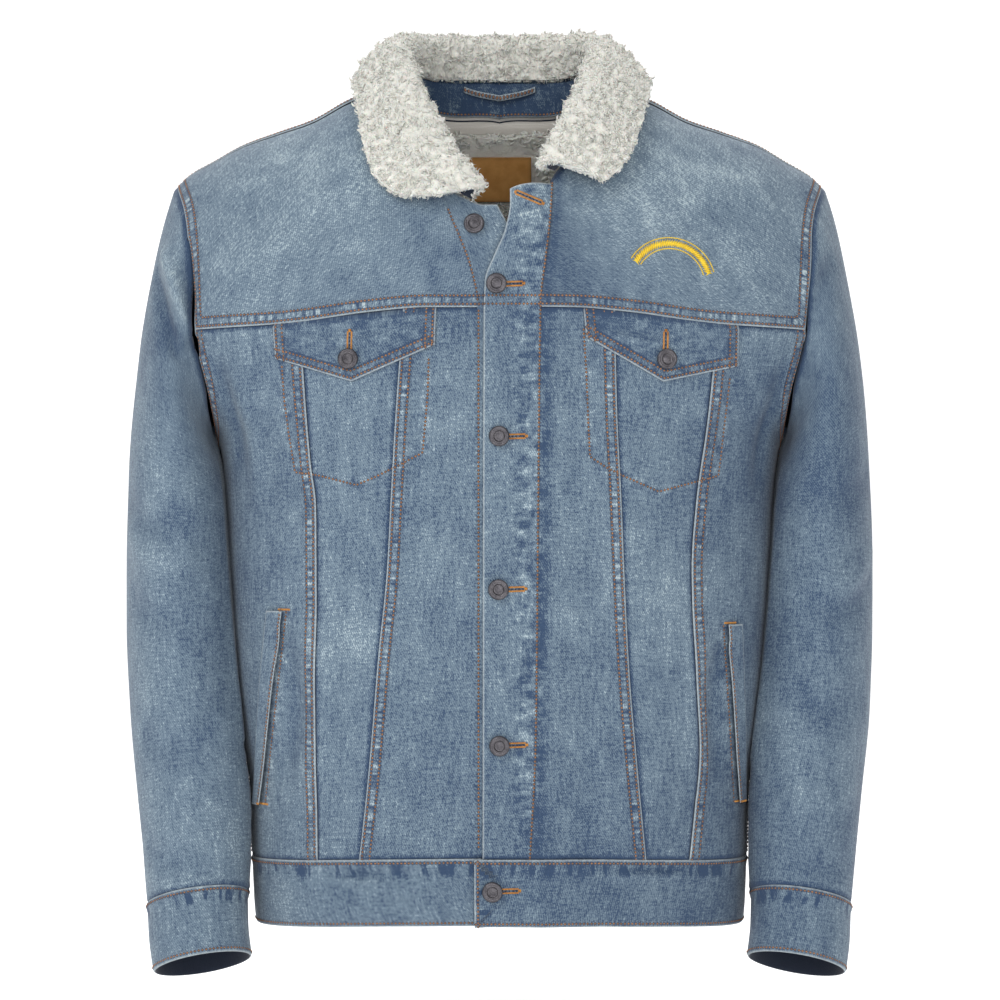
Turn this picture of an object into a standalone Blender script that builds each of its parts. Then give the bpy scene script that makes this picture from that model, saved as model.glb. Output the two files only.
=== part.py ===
"""Sherpa lined denim jacket, filled out as when worn, built from its cut pieces.

Metres, +Z up. The wearer faces -Y and the wearer's left is +X. The origin is at the
middle of the neck, level with the high points of the shoulders.

Every piece of cloth is a grid laid on one smooth form and thickened inwards. The torso
form has two sets of coordinates: (turn, z), the angle round the trunk and the height,
and (x, roll), where roll runs from the shoulder ridge down the front (negative) or the
back (positive). The sleeves are rings from the armhole to the cuff, and the collar is a
folded band on the neckline.
"""

import math

import bmesh
import bpy
import numpy as np
from mathutils import Vector

# ---------------------------------------------------------------- driving sizes
DENIM = 0.0016  # one wall of heavy denim
BAND = 0.0022  # waistband, cuffs and plackets, two layers of denim pressed together
PILE = 0.0060  # sherpa lining with its pile
COLLAR_PILE = 0.0070  # sherpa of the collar
SEAM_GAP = 0.0004  # between pieces that are sewn edge to edge
PLACKET_GAP = 0.0012  # between a yoke and its placket, a curved seam
LAY_GAP = 0.0009  # between a piece and what it lies on
COLLAR_GAP = 0.0028  # between the sherpa of the collar and the denim under it
LINING_GAP = 0.0055  # between the denim of the back and its lining

HEM_Z = -0.705  # at the centre
WAIST_SEAM_Z = -0.648
SHOULDER_GAP = 0.004  # half the gap at the shoulder seam, as roll
SIDE_DROP = 0.008  # the hem and waist seam hang this much lower at the sides
ARMPIT_Z = -0.300
BACK_YOKE_Z = -0.165
SHOULDER_REACH = 0.200  # height over which the chest and back roll over the shoulder
SQUARENESS = 2.4  # exponent of the trunk's level sections; 2 is an ellipse

# Level sections of the trunk. Above the armpit they run on past the armholes.
# height, half width, depth of the front, depth of the back
TORSO = (
    (-0.720, 0.2080, 0.126, 0.120),
    (-0.690, 0.2110, 0.132, 0.125),
    (-0.664, 0.2120, 0.134, 0.127),
    (-0.645, 0.2120, 0.137, 0.130),
    (-0.605, 0.2125, 0.141, 0.130),
    (-0.550, 0.2210, 0.146, 0.131),
    (-0.487, 0.2280, 0.148, 0.132),
    (-0.420, 0.2320, 0.151, 0.135),
    (-0.330, 0.2365, 0.151, 0.139),
    (-0.300, 0.2410, 0.150, 0.141),
    (-0.270, 0.2590, 0.149, 0.143),
    (-0.240, 0.2790, 0.147, 0.144),
    (-0.200, 0.3000, 0.145, 0.145),
    (-0.150, 0.3120, 0.142, 0.145),
    (-0.100, 0.3180, 0.139, 0.143),
    (0.040, 0.3200, 0.135, 0.140),
)

# The ridge of the shoulder seen from the front: distance from the centre, height.
# The first row only makes the ridge level where it crosses the centre.
RIDGE = (
    (-0.040, 0.0285),
    (0.000, 0.0350),
    (0.040, 0.0285),
    (0.085, 0.0085),
    (0.127, -0.0080),
    (0.160, -0.0270),
    (0.190, -0.0380),
    (0.220, -0.0490),
    (0.245, -0.0630),
    (0.265, -0.0745),
    (0.2765, -0.0855),
)

# The armhole seam: height, distance from the centre
ARMHOLE = (
    (-0.3000, 0.2410),
    (-0.2700, 0.2440),
    (-0.2110, 0.2560),
    (-0.1700, 0.2590),
    (-0.1330, 0.2628),
    (-0.1100, 0.2670),
    (-0.0855, 0.2765),
)

# The front yoke seam: distance from the centre, height
FRONT_YOKE = (
    (0.000, -0.1950),
    (0.060, -0.1950),
    (0.105, -0.1985),
    (0.163, -0.2060),
    (0.194, -0.2085),
    (0.260, -0.2110),
)

# Shoulder seam, set a little forward of the ridge: distance from the centre, roll
SHOULDER_SEAM = (
    (0.080, -0.310),
    (0.127, -0.260),
    (0.200, -0.160),
    (0.2765, -0.055),
)

# Neckline from the shoulder seam to the centre back: share of the way, x, roll
BACK_NECK = (
    (0.00, 0.0880, -0.300),
    (0.25, 0.0880, 0.120),
    (0.50, 0.0735, 0.500),
    (0.75, 0.0440, 0.686),
    (1.00, 0.0000, 0.755),
)

# Neckline from the shoulder seam to the front end: share of the way, x, height.
# The left front leads on to the outer placket, the right front to the under placket.
FRONT_NECK_LEFT = (
    (0.00, 0.0880, -0.0025),
    (0.30, 0.0790, -0.0320),
    (0.60, 0.0640, -0.0620),
    (0.85, 0.0520, -0.0790),
    (1.00, 0.0460, -0.0870),
)
FRONT_NECK_RIGHT = (
    (0.00, 0.0880, -0.0025),
    (0.30, 0.0790, -0.0350),
    (0.60, 0.0620, -0.0690),
    (0.85, 0.0410, -0.0970),
    (1.00, 0.0230, -0.1080),
)

# Vertical lines of the two fronts, as height and signed x. "edge" is a free edge,
# "stitch" the seam that joins a placket to its front.
LEFT_EDGE = (
    (-0.717, -0.0140),
    (-0.200, -0.0130),
    (-0.172, -0.0119),
    (-0.153, -0.0047),
    (-0.132, 0.0045),
    (-0.111, 0.0084),
    (-0.087, 0.0080),
)
LEFT_STITCH = (
    (-0.664, 0.0245),
    (-0.550, 0.0300),
    (-0.356, 0.0320),
    (-0.190, 0.0340),
    (-0.155, 0.0380),
    (-0.120, 0.0420),
    (-0.087, 0.0440),
)
RIGHT_STITCH = (
    (-0.664, -0.0186),
    (-0.190, -0.0186),
    (-0.162, -0.0240),
    (-0.137, -0.0330),
    (-0.1155, -0.0420),
    (-0.086, -0.0520),
)
RIGHT_EDGE = (
    (-0.664, 0.0262),
    (-0.200, 0.0262),
    (-0.160, 0.0205),
    (-0.135, 0.0120),
    (-0.122, 0.0050),
    (-0.098, -0.0080),
)

# The two shaped seams of each front, from the pocket flap to the waistband
LEFT_INNER_SEAM = (
    (-0.664, 0.1230),
    (-0.580, 0.1145),
    (-0.483, 0.1065),
    (-0.357, 0.1005),
    (-0.282, 0.0970),
    (-0.189, 0.0950),
)
LEFT_OUTER_SEAM = (
    (-0.664, 0.1570),
    (-0.560, 0.1655),
    (-0.500, 0.1620),
    (-0.410, 0.1590),
    (-0.357, 0.1625),
    (-0.292, 0.1715),
    (-0.195, 0.1810),
)
RIGHT_INNER_SEAM = (
    (-0.664, -0.1180),
    (-0.580, -0.1085),
    (-0.483, -0.1000),
    (-0.414, -0.0930),
    (-0.357, -0.0898),
    (-0.282, -0.0856),
    (-0.189, -0.0790),
)
RIGHT_OUTER_SEAM = (
    (-0.664, -0.1510),
    (-0.524, -0.1515),
    (-0.414, -0.1510),
    (-0.357, -0.1515),
    (-0.322, -0.1560),
    (-0.284, -0.1595),
    (-0.195, -0.1650),
)

# The two shaped seams of the back, mirrored: height, distance from the centre
BACK_SEAM = (
    (-0.664, 0.0900),
    (-0.450, 0.1080),
    (-0.165, 0.1380),
)

# Rings of the sleeve from the armhole to its seam with the cuff. Each ring leans on
# a line from its outer point to its inner point; front_rise lifts its front point.
# outer x, outer z, inner x, inner z, middle y, half depth, front rise
SLEEVE = (
    (0.2765, -0.0855, 0.2430, -0.3000, 0.002, 0.079, 0.000),
    (0.2860, -0.1140, 0.2434, -0.3035, 0.003, 0.084, 0.000),
    (0.2950, -0.1490, 0.2430, -0.3070, 0.003, 0.088, 0.001),
    (0.3015, -0.1820, 0.2420, -0.3110, 0.002, 0.091, 0.001),
    (0.3080, -0.2240, 0.2390, -0.3160, 0.000, 0.093, 0.001),
    (0.3135, -0.2760, 0.2340, -0.3260, -0.002, 0.092, 0.001),
    (0.3175, -0.3350, 0.2270, -0.3500, -0.004, 0.089, 0.001),
    (0.3195, -0.4000, 0.2210, -0.4000, -0.006, 0.085, 0.002),
    (0.3190, -0.4650, 0.2170, -0.4600, -0.010, 0.079, 0.005),
    (0.3155, -0.5350, 0.2120, -0.5270, -0.018, 0.072, 0.009),
    (0.3080, -0.6050, 0.2080, -0.5940, -0.029, 0.064, 0.012),
    (0.3020, -0.6550, 0.2090, -0.6420, -0.038, 0.056, 0.013),
    (0.2980, -0.6955, 0.2110, -0.6825, -0.044, 0.047, 0.013),
)
# The same for the cuff, from its seam to its open end
CUFF = (
    (0.2980, -0.6960, 0.2135, -0.6830, -0.044, 0.047, 0.013),
    (0.2965, -0.7250, 0.2125, -0.7110, -0.051, 0.044, 0.013),
    (0.2925, -0.7520, 0.2090, -0.7370, -0.059, 0.042, 0.013),
)
SLEEVE_BACK_SEAM = math.radians(-105)  # round the ring, 0 at the outer side
SLEEVE_FRONT_SEAM = math.radians(176)
BODY_CLEARANCE = 0.0062  # the sleeve lies this far off the side of the body

# The line where the collar folds over: share round the neckline (-1 right end, 0 at
# the centre back, 1 left end), x, y, z
COLLAR_ROLL = (
    (-1.00, -0.0220, -0.1370, -0.0990),
    (-0.85, -0.0420, -0.1270, -0.0750),
    (-0.70, -0.0600, -0.1070, -0.0460),
    (-0.55, -0.0790, -0.0620, -0.0030),
    (-0.42, -0.0880, -0.0100, 0.0280),
    (-0.22, -0.0680, 0.0720, 0.0430),
    (0.00, 0.0000, 0.1000, 0.0450),
    (0.22, 0.0680, 0.0720, 0.0430),
    (0.42, 0.0880, -0.0100, 0.0280),
    (0.55, 0.0780, -0.0620, -0.0030),
    (0.70, 0.0650, -0.1030, -0.0370),
    (0.85, 0.0510, -0.1270, -0.0620),
    (1.00, 0.0435, -0.1390, -0.0790),
)
# The free edge of its leaf, which lies on the torso: share, x, roll
COLLAR_EDGE = (
    (-1.00, -0.0780, -1.141),
    (-0.85, -0.0960, -1.030),
    (-0.70, -0.1080, -0.835),
    (-0.55, -0.1140, -0.537),
    (-0.42, -0.1160, -0.180),
    (-0.22, -0.0980, 0.520),
    (0.00, 0.0000, 0.860),
    (0.22, 0.0980, 0.520),
    (0.42, 0.1200, -0.150),
    (0.55, 0.1190, -0.431),
    (0.70, 0.1110, -0.719),
    (0.85, 0.0970, -0.946),
    (1.00, 0.0800, -1.034),
)
ROLL_RADIUS = 0.0040  # of the fold, inside the denim
LEAF_LIFT = 0.0045  # of the leaf's edge off the yokes
COLLAR_FOOT = 0.0030  # the collar starts this far above the neckline
BAND_SHARE = 0.21  # of the collar's width that the denim band inside the back neck takes

# Chest pocket flaps, as signed x and height of the corners: top inner, top outer,
# bottom outer, point, bottom inner
FLAP_LEFT = (
    (0.0690, -0.1975),
    (0.1975, -0.2110),
    (0.1970, -0.2420),
    (0.1345, -0.2555),
    (0.0710, -0.2190),
)
FLAP_RIGHT = (
    (-0.0520, -0.1975),
    (-0.1870, -0.2100),
    (-0.1850, -0.2360),
    (-0.1216, -0.2555),
    (-0.0531, -0.2255),
)
# Side pocket welts: signed x of the inner line, height, at the top and the bottom
WELT_LEFT = ((0.1885, -0.4565), (0.1995, -0.6080))
WELT_RIGHT = ((-0.1790, -0.4450), (-0.1995, -0.6100))
WELT_WIDTH = 0.0078
WELT_GAP = 0.0030

# Metal tack buttons: name, signed x, height, the layer that it sits on
BUTTONS = (
    ("neck", -0.0208, -0.1262, "under"),
    ("yoke", -0.0025, -0.1757, "placket"),
    ("chest", -0.0003, -0.3010, "placket"),
    ("middle", -0.0008, -0.4262, "placket"),
    ("low", 0.0000, -0.5542, "placket"),
    ("waist", -0.0058, -0.6752, "waist"),
    ("pocket_right", -0.1235, -0.2370, "flap"),
    ("pocket_left", 0.1367, -0.2370, "flap"),
)
BUTTON_RADIUS = 0.0085
BUTTON_HEIGHT = 0.0046

LABEL_HALF_WIDTH = 0.030
LABEL_TOP_Z, LABEL_BOTTOM_Z = -0.041, -0.082
LOOP_HALF_SHARE = 0.095  # half the hanger loop, as a share round the neckline
LINING_HEM_Z = -0.640
LINING_SEAM_Z = -0.290
LINING_SIDE_X = 0.2180

# Name, red, green, blue, roughness, metallic
MATERIALS = {
    "denim": (0.27, 0.37, 0.50, 0.85, 0.0),
    "sherpa": (0.80, 0.79, 0.74, 0.95, 0.0),
    "metal": (0.10, 0.10, 0.11, 0.40, 0.9),
    "leather": (0.42, 0.24, 0.10, 0.60, 0.0),
    "tape": (0.66, 0.63, 0.58, 0.80, 0.0),
}


# ---------------------------------------------------------------- curves
def column(table, index):
    return np.array([row[index] for row in table], float)


def smooth(table, index=1):
    """A curve through one column of a table, against its first column, that does not
    overshoot between rows."""
    order = np.argsort(column(table, 0))
    x = column(table, 0)[order]
    y = column(table, index)[order]
    step = np.diff(x)
    slope = np.diff(y) / step
    pair = slope[:-1] * slope[1:]
    total = np.where(pair > 0, slope[:-1] + slope[1:], 1.0)
    lean = np.zeros(len(x))
    lean[1:-1] = np.where(pair > 0, 2 * pair / total, 0.0)
    lean[0] = slope[0]
    lean[-1] = slope[-1]

    def at(q):
        q = np.clip(q, x[0], x[-1])
        i = np.clip(np.searchsorted(x, q) - 1, 0, len(x) - 2)
        h = step[i]
        t = (q - x[i]) / h
        from_start = y[i] * (2 * t**3 - 3 * t**2 + 1) + h * lean[i] * (t**3 - 2 * t**2 + t)
        to_end = y[i + 1] * (3 * t**2 - 2 * t**3) + h * lean[i + 1] * (t**3 - t**2)
        return from_start + to_end

    return at


def mix(a, b, share):
    return a + (b - a) * share


# ---------------------------------------------------------------- torso form
half_width = smooth(TORSO, 1)
front_depth = smooth(TORSO, 2)
back_depth = smooth(TORSO, 3)
ridge_z = smooth(RIDGE)
armhole_x = smooth(ARMHOLE)
front_yoke_z = smooth(FRONT_YOKE)
shoulder_seam_roll = smooth(SHOULDER_SEAM)


def roll_of(x, z):
    """How far round from the shoulder ridge a height is, without its sign."""
    down = np.maximum((ridge_z(np.abs(x)) - z) / SHOULDER_REACH, 0.0)
    return np.where(down < 1, np.arccos(np.clip(1 - down, -1, 1)), math.pi / 2 + down - 1)


def height_of(x, roll):
    """The height at a roll, the other way round."""
    q = np.abs(roll)
    down = np.where(q < math.pi / 2, 1 - np.cos(q), 1 + q - math.pi / 2)
    return ridge_z(np.abs(x)) - SHOULDER_REACH * down


def depth_share(x, z):
    """Depth of a level section at x, as a share of its depth at the centre."""
    inside = 1 - np.clip(np.abs(x) / half_width(z), 0, 1) ** SQUARENESS
    return np.maximum(inside, 0.0) ** (1 / SQUARENESS)


def on_roll(x, roll):
    """A point of the torso form from its distance along the shoulders and its roll."""
    z = height_of(x, roll)
    over = np.sin(np.clip(roll, -math.pi / 2, math.pi / 2))
    depth = np.where(roll < 0, front_depth(z), back_depth(z))
    return np.stack([x + 0 * z, depth * depth_share(x, z) * over, z], axis=-1)


def turn_of(x, z):
    """The angle round the trunk of a signed x on the front, 0 at its centre."""
    share = np.clip(np.abs(x) / half_width(z), 0, 1)
    return np.sign(x) * np.arcsin(share ** (SQUARENESS / 2))


def on_turn(turn, z):
    """A point of the torso form from its angle round the trunk, 0 at the centre front
    and 90 degrees at the wearer's left side, and its height."""
    power = 2 / SQUARENESS
    sine, cosine = np.sin(turn), np.cos(turn)
    x = half_width(z) * np.sign(sine) * np.abs(sine) ** power
    over = np.sin(np.minimum(roll_of(x, z), math.pi / 2))
    depth = np.where(cosine > 0, front_depth(z), back_depth(z))
    y = -np.sign(cosine) * np.abs(cosine) ** power * depth * over
    return np.stack([x, y, z + 0 * x], axis=-1)


def side_turn(z):
    """The angle at which a front panel ends: its armhole, or the side seam below it."""
    return np.where(z > ARMPIT_Z, turn_of(armhole_x(z), z), math.pi / 2)


# ---------------------------------------------------------------- cloth
def moved_out(place, across, up, out):
    """Points of a form, moved along its outward normal."""
    nudge = 1e-4
    run = place(across + nudge, up) - place(across - nudge, up)
    rise = place(across, up + nudge) - place(across, up - nudge)
    normal = np.cross(run, rise)
    normal /= np.maximum(np.linalg.norm(normal, axis=-1, keepdims=True), 1e-12)
    return place(across, up) + normal * out


def cloth(name, place, columns, rows, wall, material, out=0.0, closed=False, even=True):
    """A wall of cloth on a form. place(across, up) gives its points for shares from 0
    to 1, columns and rows are those shares, and its outer face is moved out by out,
    a number or a function of the shares."""
    across, up = np.meshgrid(columns, rows, indexing="ij")
    lift = out(across, up) if callable(out) else out + 0 * across
    points = moved_out(place, across, up, lift[..., None])
    mesh = bmesh.new()
    bmesh.ops.create_grid(
        mesh, x_segments=len(columns) - 1, y_segments=len(rows) - 1, size=0.5
    )
    for vert in mesh.verts:
        i = round((vert.co.x + 0.5) * (len(columns) - 1))
        j = round((vert.co.y + 0.5) * (len(rows) - 1))
        vert.co = points[i, j]
    if closed:
        bmesh.ops.remove_doubles(mesh, verts=mesh.verts, dist=1e-5)
    data = bpy.data.meshes.new(name)
    mesh.to_mesh(data)
    mesh.free()
    data.shade_smooth()
    piece = add(name, data, material)
    thick = piece.modifiers.new("wall", "SOLIDIFY")
    thick.thickness = wall
    thick.offset = -1
    thick.use_even_offset = even
    return piece


def add(name, data, material):
    piece = bpy.data.objects.new(name, data)
    data.materials.append(material_named(material))
    bpy.data.collections["jacket"].objects.link(piece)
    return piece


def material_named(name):
    if name in bpy.data.materials:
        return bpy.data.materials[name]
    red, green, blue, roughness, metallic = MATERIALS[name]
    material = bpy.data.materials.new(name)
    material.use_nodes = True
    shader = material.node_tree.nodes["Principled BSDF"]
    shader.inputs["Base Color"].default_value = (red, green, blue, 1)
    shader.inputs["Roughness"].default_value = roughness
    shader.inputs["Metallic"].default_value = metallic
    material.diffuse_color = (red, green, blue, 1)
    return material


def shares(count):
    return np.linspace(0, 1, count + 1)


def level(z):
    """A seam at one height."""
    return lambda x: z + 0 * x


def settle(height_at, x_at):
    """The height at which a line of the cloth, x_at(z), meets a seam, height_at(x)."""
    low = np.full_like(x_at(np.zeros(1)), -0.75)
    high = low + 0.80
    for _ in range(40):
        middle = (low + high) / 2
        under = middle < height_at(x_at(middle))
        low = np.where(under, middle, low)
        high = np.where(under, high, middle)
    return middle


def strip_form(start_turn, end_turn, lower, upper):
    """A panel between two upright lines, given as turns at each height, and two seams,
    given as heights at each x."""

    def place(across, up):
        def x_at(z):
            return on_turn(mix(start_turn(z), end_turn(z), across), z)[..., 0]

        bottom = settle(lower, x_at)
        top = settle(upper, x_at)
        z = mix(bottom, top, up)
        return on_turn(mix(start_turn(z), end_turn(z), across), z)

    return place


def upright(table, shift=0.0):
    """The turn of an upright line on the front, from its table of height and x."""
    line = smooth(table)
    return lambda z: turn_of(line(z) + shift, z)


def shifted(turn_at, gap):
    return lambda z: turn_at(z) + gap / 0.2


# ---------------------------------------------------------------- fronts
def waist_z(x):
    """The seam between the panels and the waistband, at each x."""
    return WAIST_SEAM_Z - SIDE_DROP * (x / 0.21) ** 2


def lift_left(x):
    """The left front rises towards its placket, which lies over the right one."""
    near = np.clip((0.075 - x) / 0.045, 0, 1)
    return (BAND + LAY_GAP + 0.0004) * near * near * (3 - 2 * near)


def lap_lift(x, z):
    """How far the outer placket stands off: flat where buttoned, turned out above."""
    rise = np.clip((z + 0.180) / 0.095, 0, 1)
    free = np.clip((0.046 - x) / 0.050, 0, 1)
    return BAND + LAY_GAP + 0.0006 + 0.013 * rise * rise * (3 - 2 * rise) * free


def front_panels(side, stitch, inner, outer, sign):
    """The three lower panels of a front, from its placket to the side seam."""

    def edge(z):
        return sign * side_turn(z)

    gap = sign * SEAM_GAP / 2
    lines = {
        "inner": (shifted(stitch, 2 * gap), shifted(inner, -gap), 4),
        "centre": (shifted(inner, gap), shifted(outer, -gap), 3),
        "side": (shifted(outer, gap), shifted(edge, -2 * gap), 6),
    }
    for part, (start, end, count) in lines.items():
        if sign < 0:
            start, end = end, start
        place = strip_form(
            start,
            end,
            lambda x: waist_z(x) + SEAM_GAP,
            lambda x: front_yoke_z(np.abs(x)) - SEAM_GAP,
        )
        lift = 0.0
        if side == "left" and part == "inner":

            def lift(across, up, place=place):
                return lift_left(place(across, up)[..., 0])

        cloth(f"front_{part}_{side}", place, shares(count), shares(9), DENIM, "denim", lift)


def on_form(x, z):
    """A point of the front at a signed x and a height, with an array of either."""
    x, z = np.broadcast_arrays(np.asarray(x, float), np.asarray(z, float))
    return on_roll(x, -roll_of(x, z))


def armhole_at(roll):
    """Distance from the centre of the armhole seam at a roll."""
    x = np.full_like(roll, 0.262)
    for _ in range(6):
        x = armhole_x(height_of(x, roll))
    return x - SEAM_GAP


def yoke_outline(f, start):
    """Outer boundary of a front yoke, as x and roll: along the yoke seam from the
    placket (0) to the armhole (0.6), then up the armhole to the shoulder (1)."""
    corner_x = armhole_x(-0.2110) - SEAM_GAP
    corner_z = front_yoke_z(corner_x) + SEAM_GAP
    corner_roll = -roll_of(corner_x, corner_z)
    along = np.clip(f / 0.6, 0, 1)
    climb = np.clip((f - 0.6) / 0.4, 0, 1)
    x_seam = mix(start, corner_x, along)
    roll_seam = -roll_of(x_seam, front_yoke_z(x_seam) + SEAM_GAP)
    roll_arm = mix(corner_roll, shoulder_seam_roll(0.2765) - SHOULDER_GAP, climb)
    on_seam = f <= 0.6
    return (
        np.where(on_seam, x_seam, armhole_at(roll_arm)),
        np.where(on_seam, roll_seam, roll_arm),
    )


def front_yoke(side, neck, neck_share, stitch, sign):
    """A front yoke, as rays from the neckline to its outer boundary. The first ray
    follows the seam of the placket."""
    neck_x = smooth(neck, 1)
    neck_z = smooth(neck, 2)
    seam = smooth(stitch)
    start = abs(float(seam(-0.195))) + PLACKET_GAP

    def place(across, up):
        f = across if sign > 0 else 1 - across
        share = (1 - f) * neck_share
        inner_x = neck_x(share) + 0.0008
        inner_roll = -roll_of(inner_x, neck_z(share) - 0.0008)
        inner_roll = np.minimum(inner_roll, shoulder_seam_roll(inner_x) - SHOULDER_GAP)
        outer_x, outer_roll = yoke_outline(f, start)
        x = mix(outer_x, inner_x, up)
        roll = mix(outer_roll, inner_roll, up)
        ray_x = mix(start, neck_x(neck_share) + 0.0008, up)
        first_roll = -roll_of(start, front_yoke_z(start) + SEAM_GAP)
        last_roll = -roll_of(neck_x(neck_share), neck_z(neck_share) - 0.0008)
        ray_z = height_of(ray_x, mix(first_roll, last_roll, up))
        miss = np.abs(seam(ray_z)) + PLACKET_GAP - ray_x
        x = x + miss * np.clip(1 - f / 0.35, 0, 1) ** 2
        return on_roll(sign * x, roll)

    def lift(across, up):
        x = place(across, up)[..., 0]
        return lift_left(x) if sign > 0 else 0 * x

    columns = np.concatenate([np.linspace(0, 0.6, 9), np.linspace(0.6, 1, 6)[1:]])
    if sign < 0:
        columns = (1 - columns)[::-1]
    cloth(f"yoke_front_{side}", place, columns, shares(6), DENIM, "denim", lift)


def placket_left():
    """The outer placket, from the waistband to the neck."""
    edge = smooth(LEFT_EDGE)
    stitch = smooth(LEFT_STITCH)

    def place(across, up):
        top = -0.0932 - 0.0070 * (1 - across) ** 3
        z = mix(waist_z(0.0) + SEAM_GAP, top, up)
        x = mix(edge(z), stitch(z) - SEAM_GAP, across)
        return on_form(x, z)

    def lift(across, up):
        point = place(across, up)
        return lap_lift(point[..., 0], point[..., 2])

    rows = np.concatenate([np.linspace(0, 0.80, 10), np.linspace(0.80, 1, 7)[1:]])
    cloth("placket_left", place, shares(3), rows, BAND, "denim", lift)


def placket_right():
    """The under placket, which carries the buttons."""
    edge = smooth(RIGHT_EDGE)
    stitch = smooth(RIGHT_STITCH)
    neck_z = smooth([(row[1], row[2]) for row in FRONT_NECK_RIGHT])

    def place(across, up):
        top = neck_z(np.abs(mix(-0.0510, -0.0080, across))) - 0.0012
        z = mix(waist_z(0.0) + SEAM_GAP, top, up)
        x = mix(stitch(z) + SEAM_GAP, edge(z), across)
        return on_form(x, z)

    rows = np.concatenate([np.linspace(0, 0.80, 10), np.linspace(0.80, 1, 7)[1:]])
    cloth("placket_right", place, shares(4), rows, BAND, "denim")


# ---------------------------------------------------------------- back
def ray_piece(name, outline, inset, columns, rows, wall, material, out=0.0):
    """A piece of the back laid as rays from the back neckline to an outline given as
    x and roll at shares from the shoulder (0) to the centre back (1)."""
    neck_x = smooth(BACK_NECK, 1)
    neck_roll = smooth(BACK_NECK, 2)

    def place(across, up):
        f = 1 - np.abs(2 * across - 1)
        side = np.where(across < 0.5, 1.0, -1.0)
        outer_x, outer_roll = outline(f)
        inner_x = neck_x(f) + inset * (1 - f)
        inner_roll = neck_roll(f) + inset / 0.15 * f
        at_seam = shoulder_seam_roll(inner_x) + SHOULDER_GAP
        inner_roll = np.maximum(inner_roll, at_seam)
        x = mix(outer_x, inner_x, up)
        roll = mix(outer_roll, inner_roll, up)
        return on_roll(side * x, roll)

    half = np.asarray(columns) / 2
    across = np.concatenate([half, (1 - half)[::-1][1:]])
    cloth(name, place, across, rows, wall, material, out)


def back_yoke():
    """The back yoke, over both shoulders."""
    corner = 0.45
    corner_z = BACK_YOKE_Z + SEAM_GAP
    corner_x = armhole_x(corner_z) - SEAM_GAP

    def outline(f):
        climb = np.clip(f / corner, 0, 1)
        tip_roll = shoulder_seam_roll(0.2765) + SHOULDER_GAP
        roll_arm = mix(tip_roll, roll_of(corner_x, corner_z), climb)
        along = np.clip((f - corner) / (1 - corner), 0, 1)
        x_seam = mix(corner_x, 0.0, along)
        on_arm = f <= corner
        return (
            np.where(on_arm, armhole_at(roll_arm), x_seam),
            np.where(on_arm, roll_arm, roll_of(x_seam, corner_z)),
        )

    columns = np.concatenate([np.linspace(0, corner, 7), np.linspace(corner, 1, 6)[1:]])
    ray_piece("yoke_back", outline, 0.0008, columns, shares(6), DENIM, "denim")


def back_panels():
    """The centre and side panels of the back, below its yoke."""
    seam = smooth(BACK_SEAM)

    def from_back(turn_at, sign, gap):
        return lambda z: math.pi + sign * turn_at(z) + gap / 0.2

    def seam_turn(z):
        return turn_of(seam(z), z)

    gap = SEAM_GAP / 2
    forms = {
        "left": (from_back(side_turn, -1, 2 * gap), from_back(seam_turn, -1, -gap), 5),
        "centre": (from_back(seam_turn, -1, gap), from_back(seam_turn, 1, -gap), 6),
        "right": (from_back(seam_turn, 1, gap), from_back(side_turn, 1, -2 * gap), 5),
    }
    for name, (start, end, count) in forms.items():
        place = strip_form(
            start, end, lambda x: waist_z(x) + SEAM_GAP, level(BACK_YOKE_Z - SEAM_GAP)
        )
        cloth(f"back_{name}", place, shares(count), shares(9), DENIM, "denim")


def waistband():
    """One strip round the hem, from its left end over its right end."""
    start_x, end_x = -0.0205, 0.0262

    def place(across, up):
        low = turn_of(start_x, HEM_Z)
        turn = mix(low, 2 * math.pi + turn_of(end_x, HEM_Z), across)
        x = on_turn(turn, HEM_Z + 0 * turn)[..., 0]
        drop = waist_z(x) - WAIST_SEAM_Z
        z = mix(HEM_Z, WAIST_SEAM_Z - SEAM_GAP, up) + drop
        return on_turn(turn, z)

    def lift(across, up):
        x = place(across, up)[..., 0]
        over = lap_lift(0.05, -0.7) * np.clip((0.085 - x) / 0.05, 0, 1)
        return np.where(across < 0.3, over, 0.0)

    columns = np.concatenate([np.linspace(0, 0.085, 5), np.linspace(0.085, 1, 33)[1:]])
    cloth("waistband", place, columns, shares(2), BAND, "denim", lift)


# ---------------------------------------------------------------- sleeves
def armhole_point(angle):
    """The armhole seam at an angle round the sleeve: 0 at the shoulder, 90 degrees at
    the front and 180 at the armpit."""
    drop = (1 - np.cos(angle)) / 2
    z = mix(-0.0855, ARMPIT_Z, drop)
    x = armhole_x(z)
    front = np.sin(angle) >= 0
    over = np.sin(np.minimum(roll_of(x, z), math.pi / 2))
    depth = np.where(front, -front_depth(z), back_depth(z))
    return np.stack([x, depth * depth_share(x, z) * over, z], axis=-1)


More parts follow.
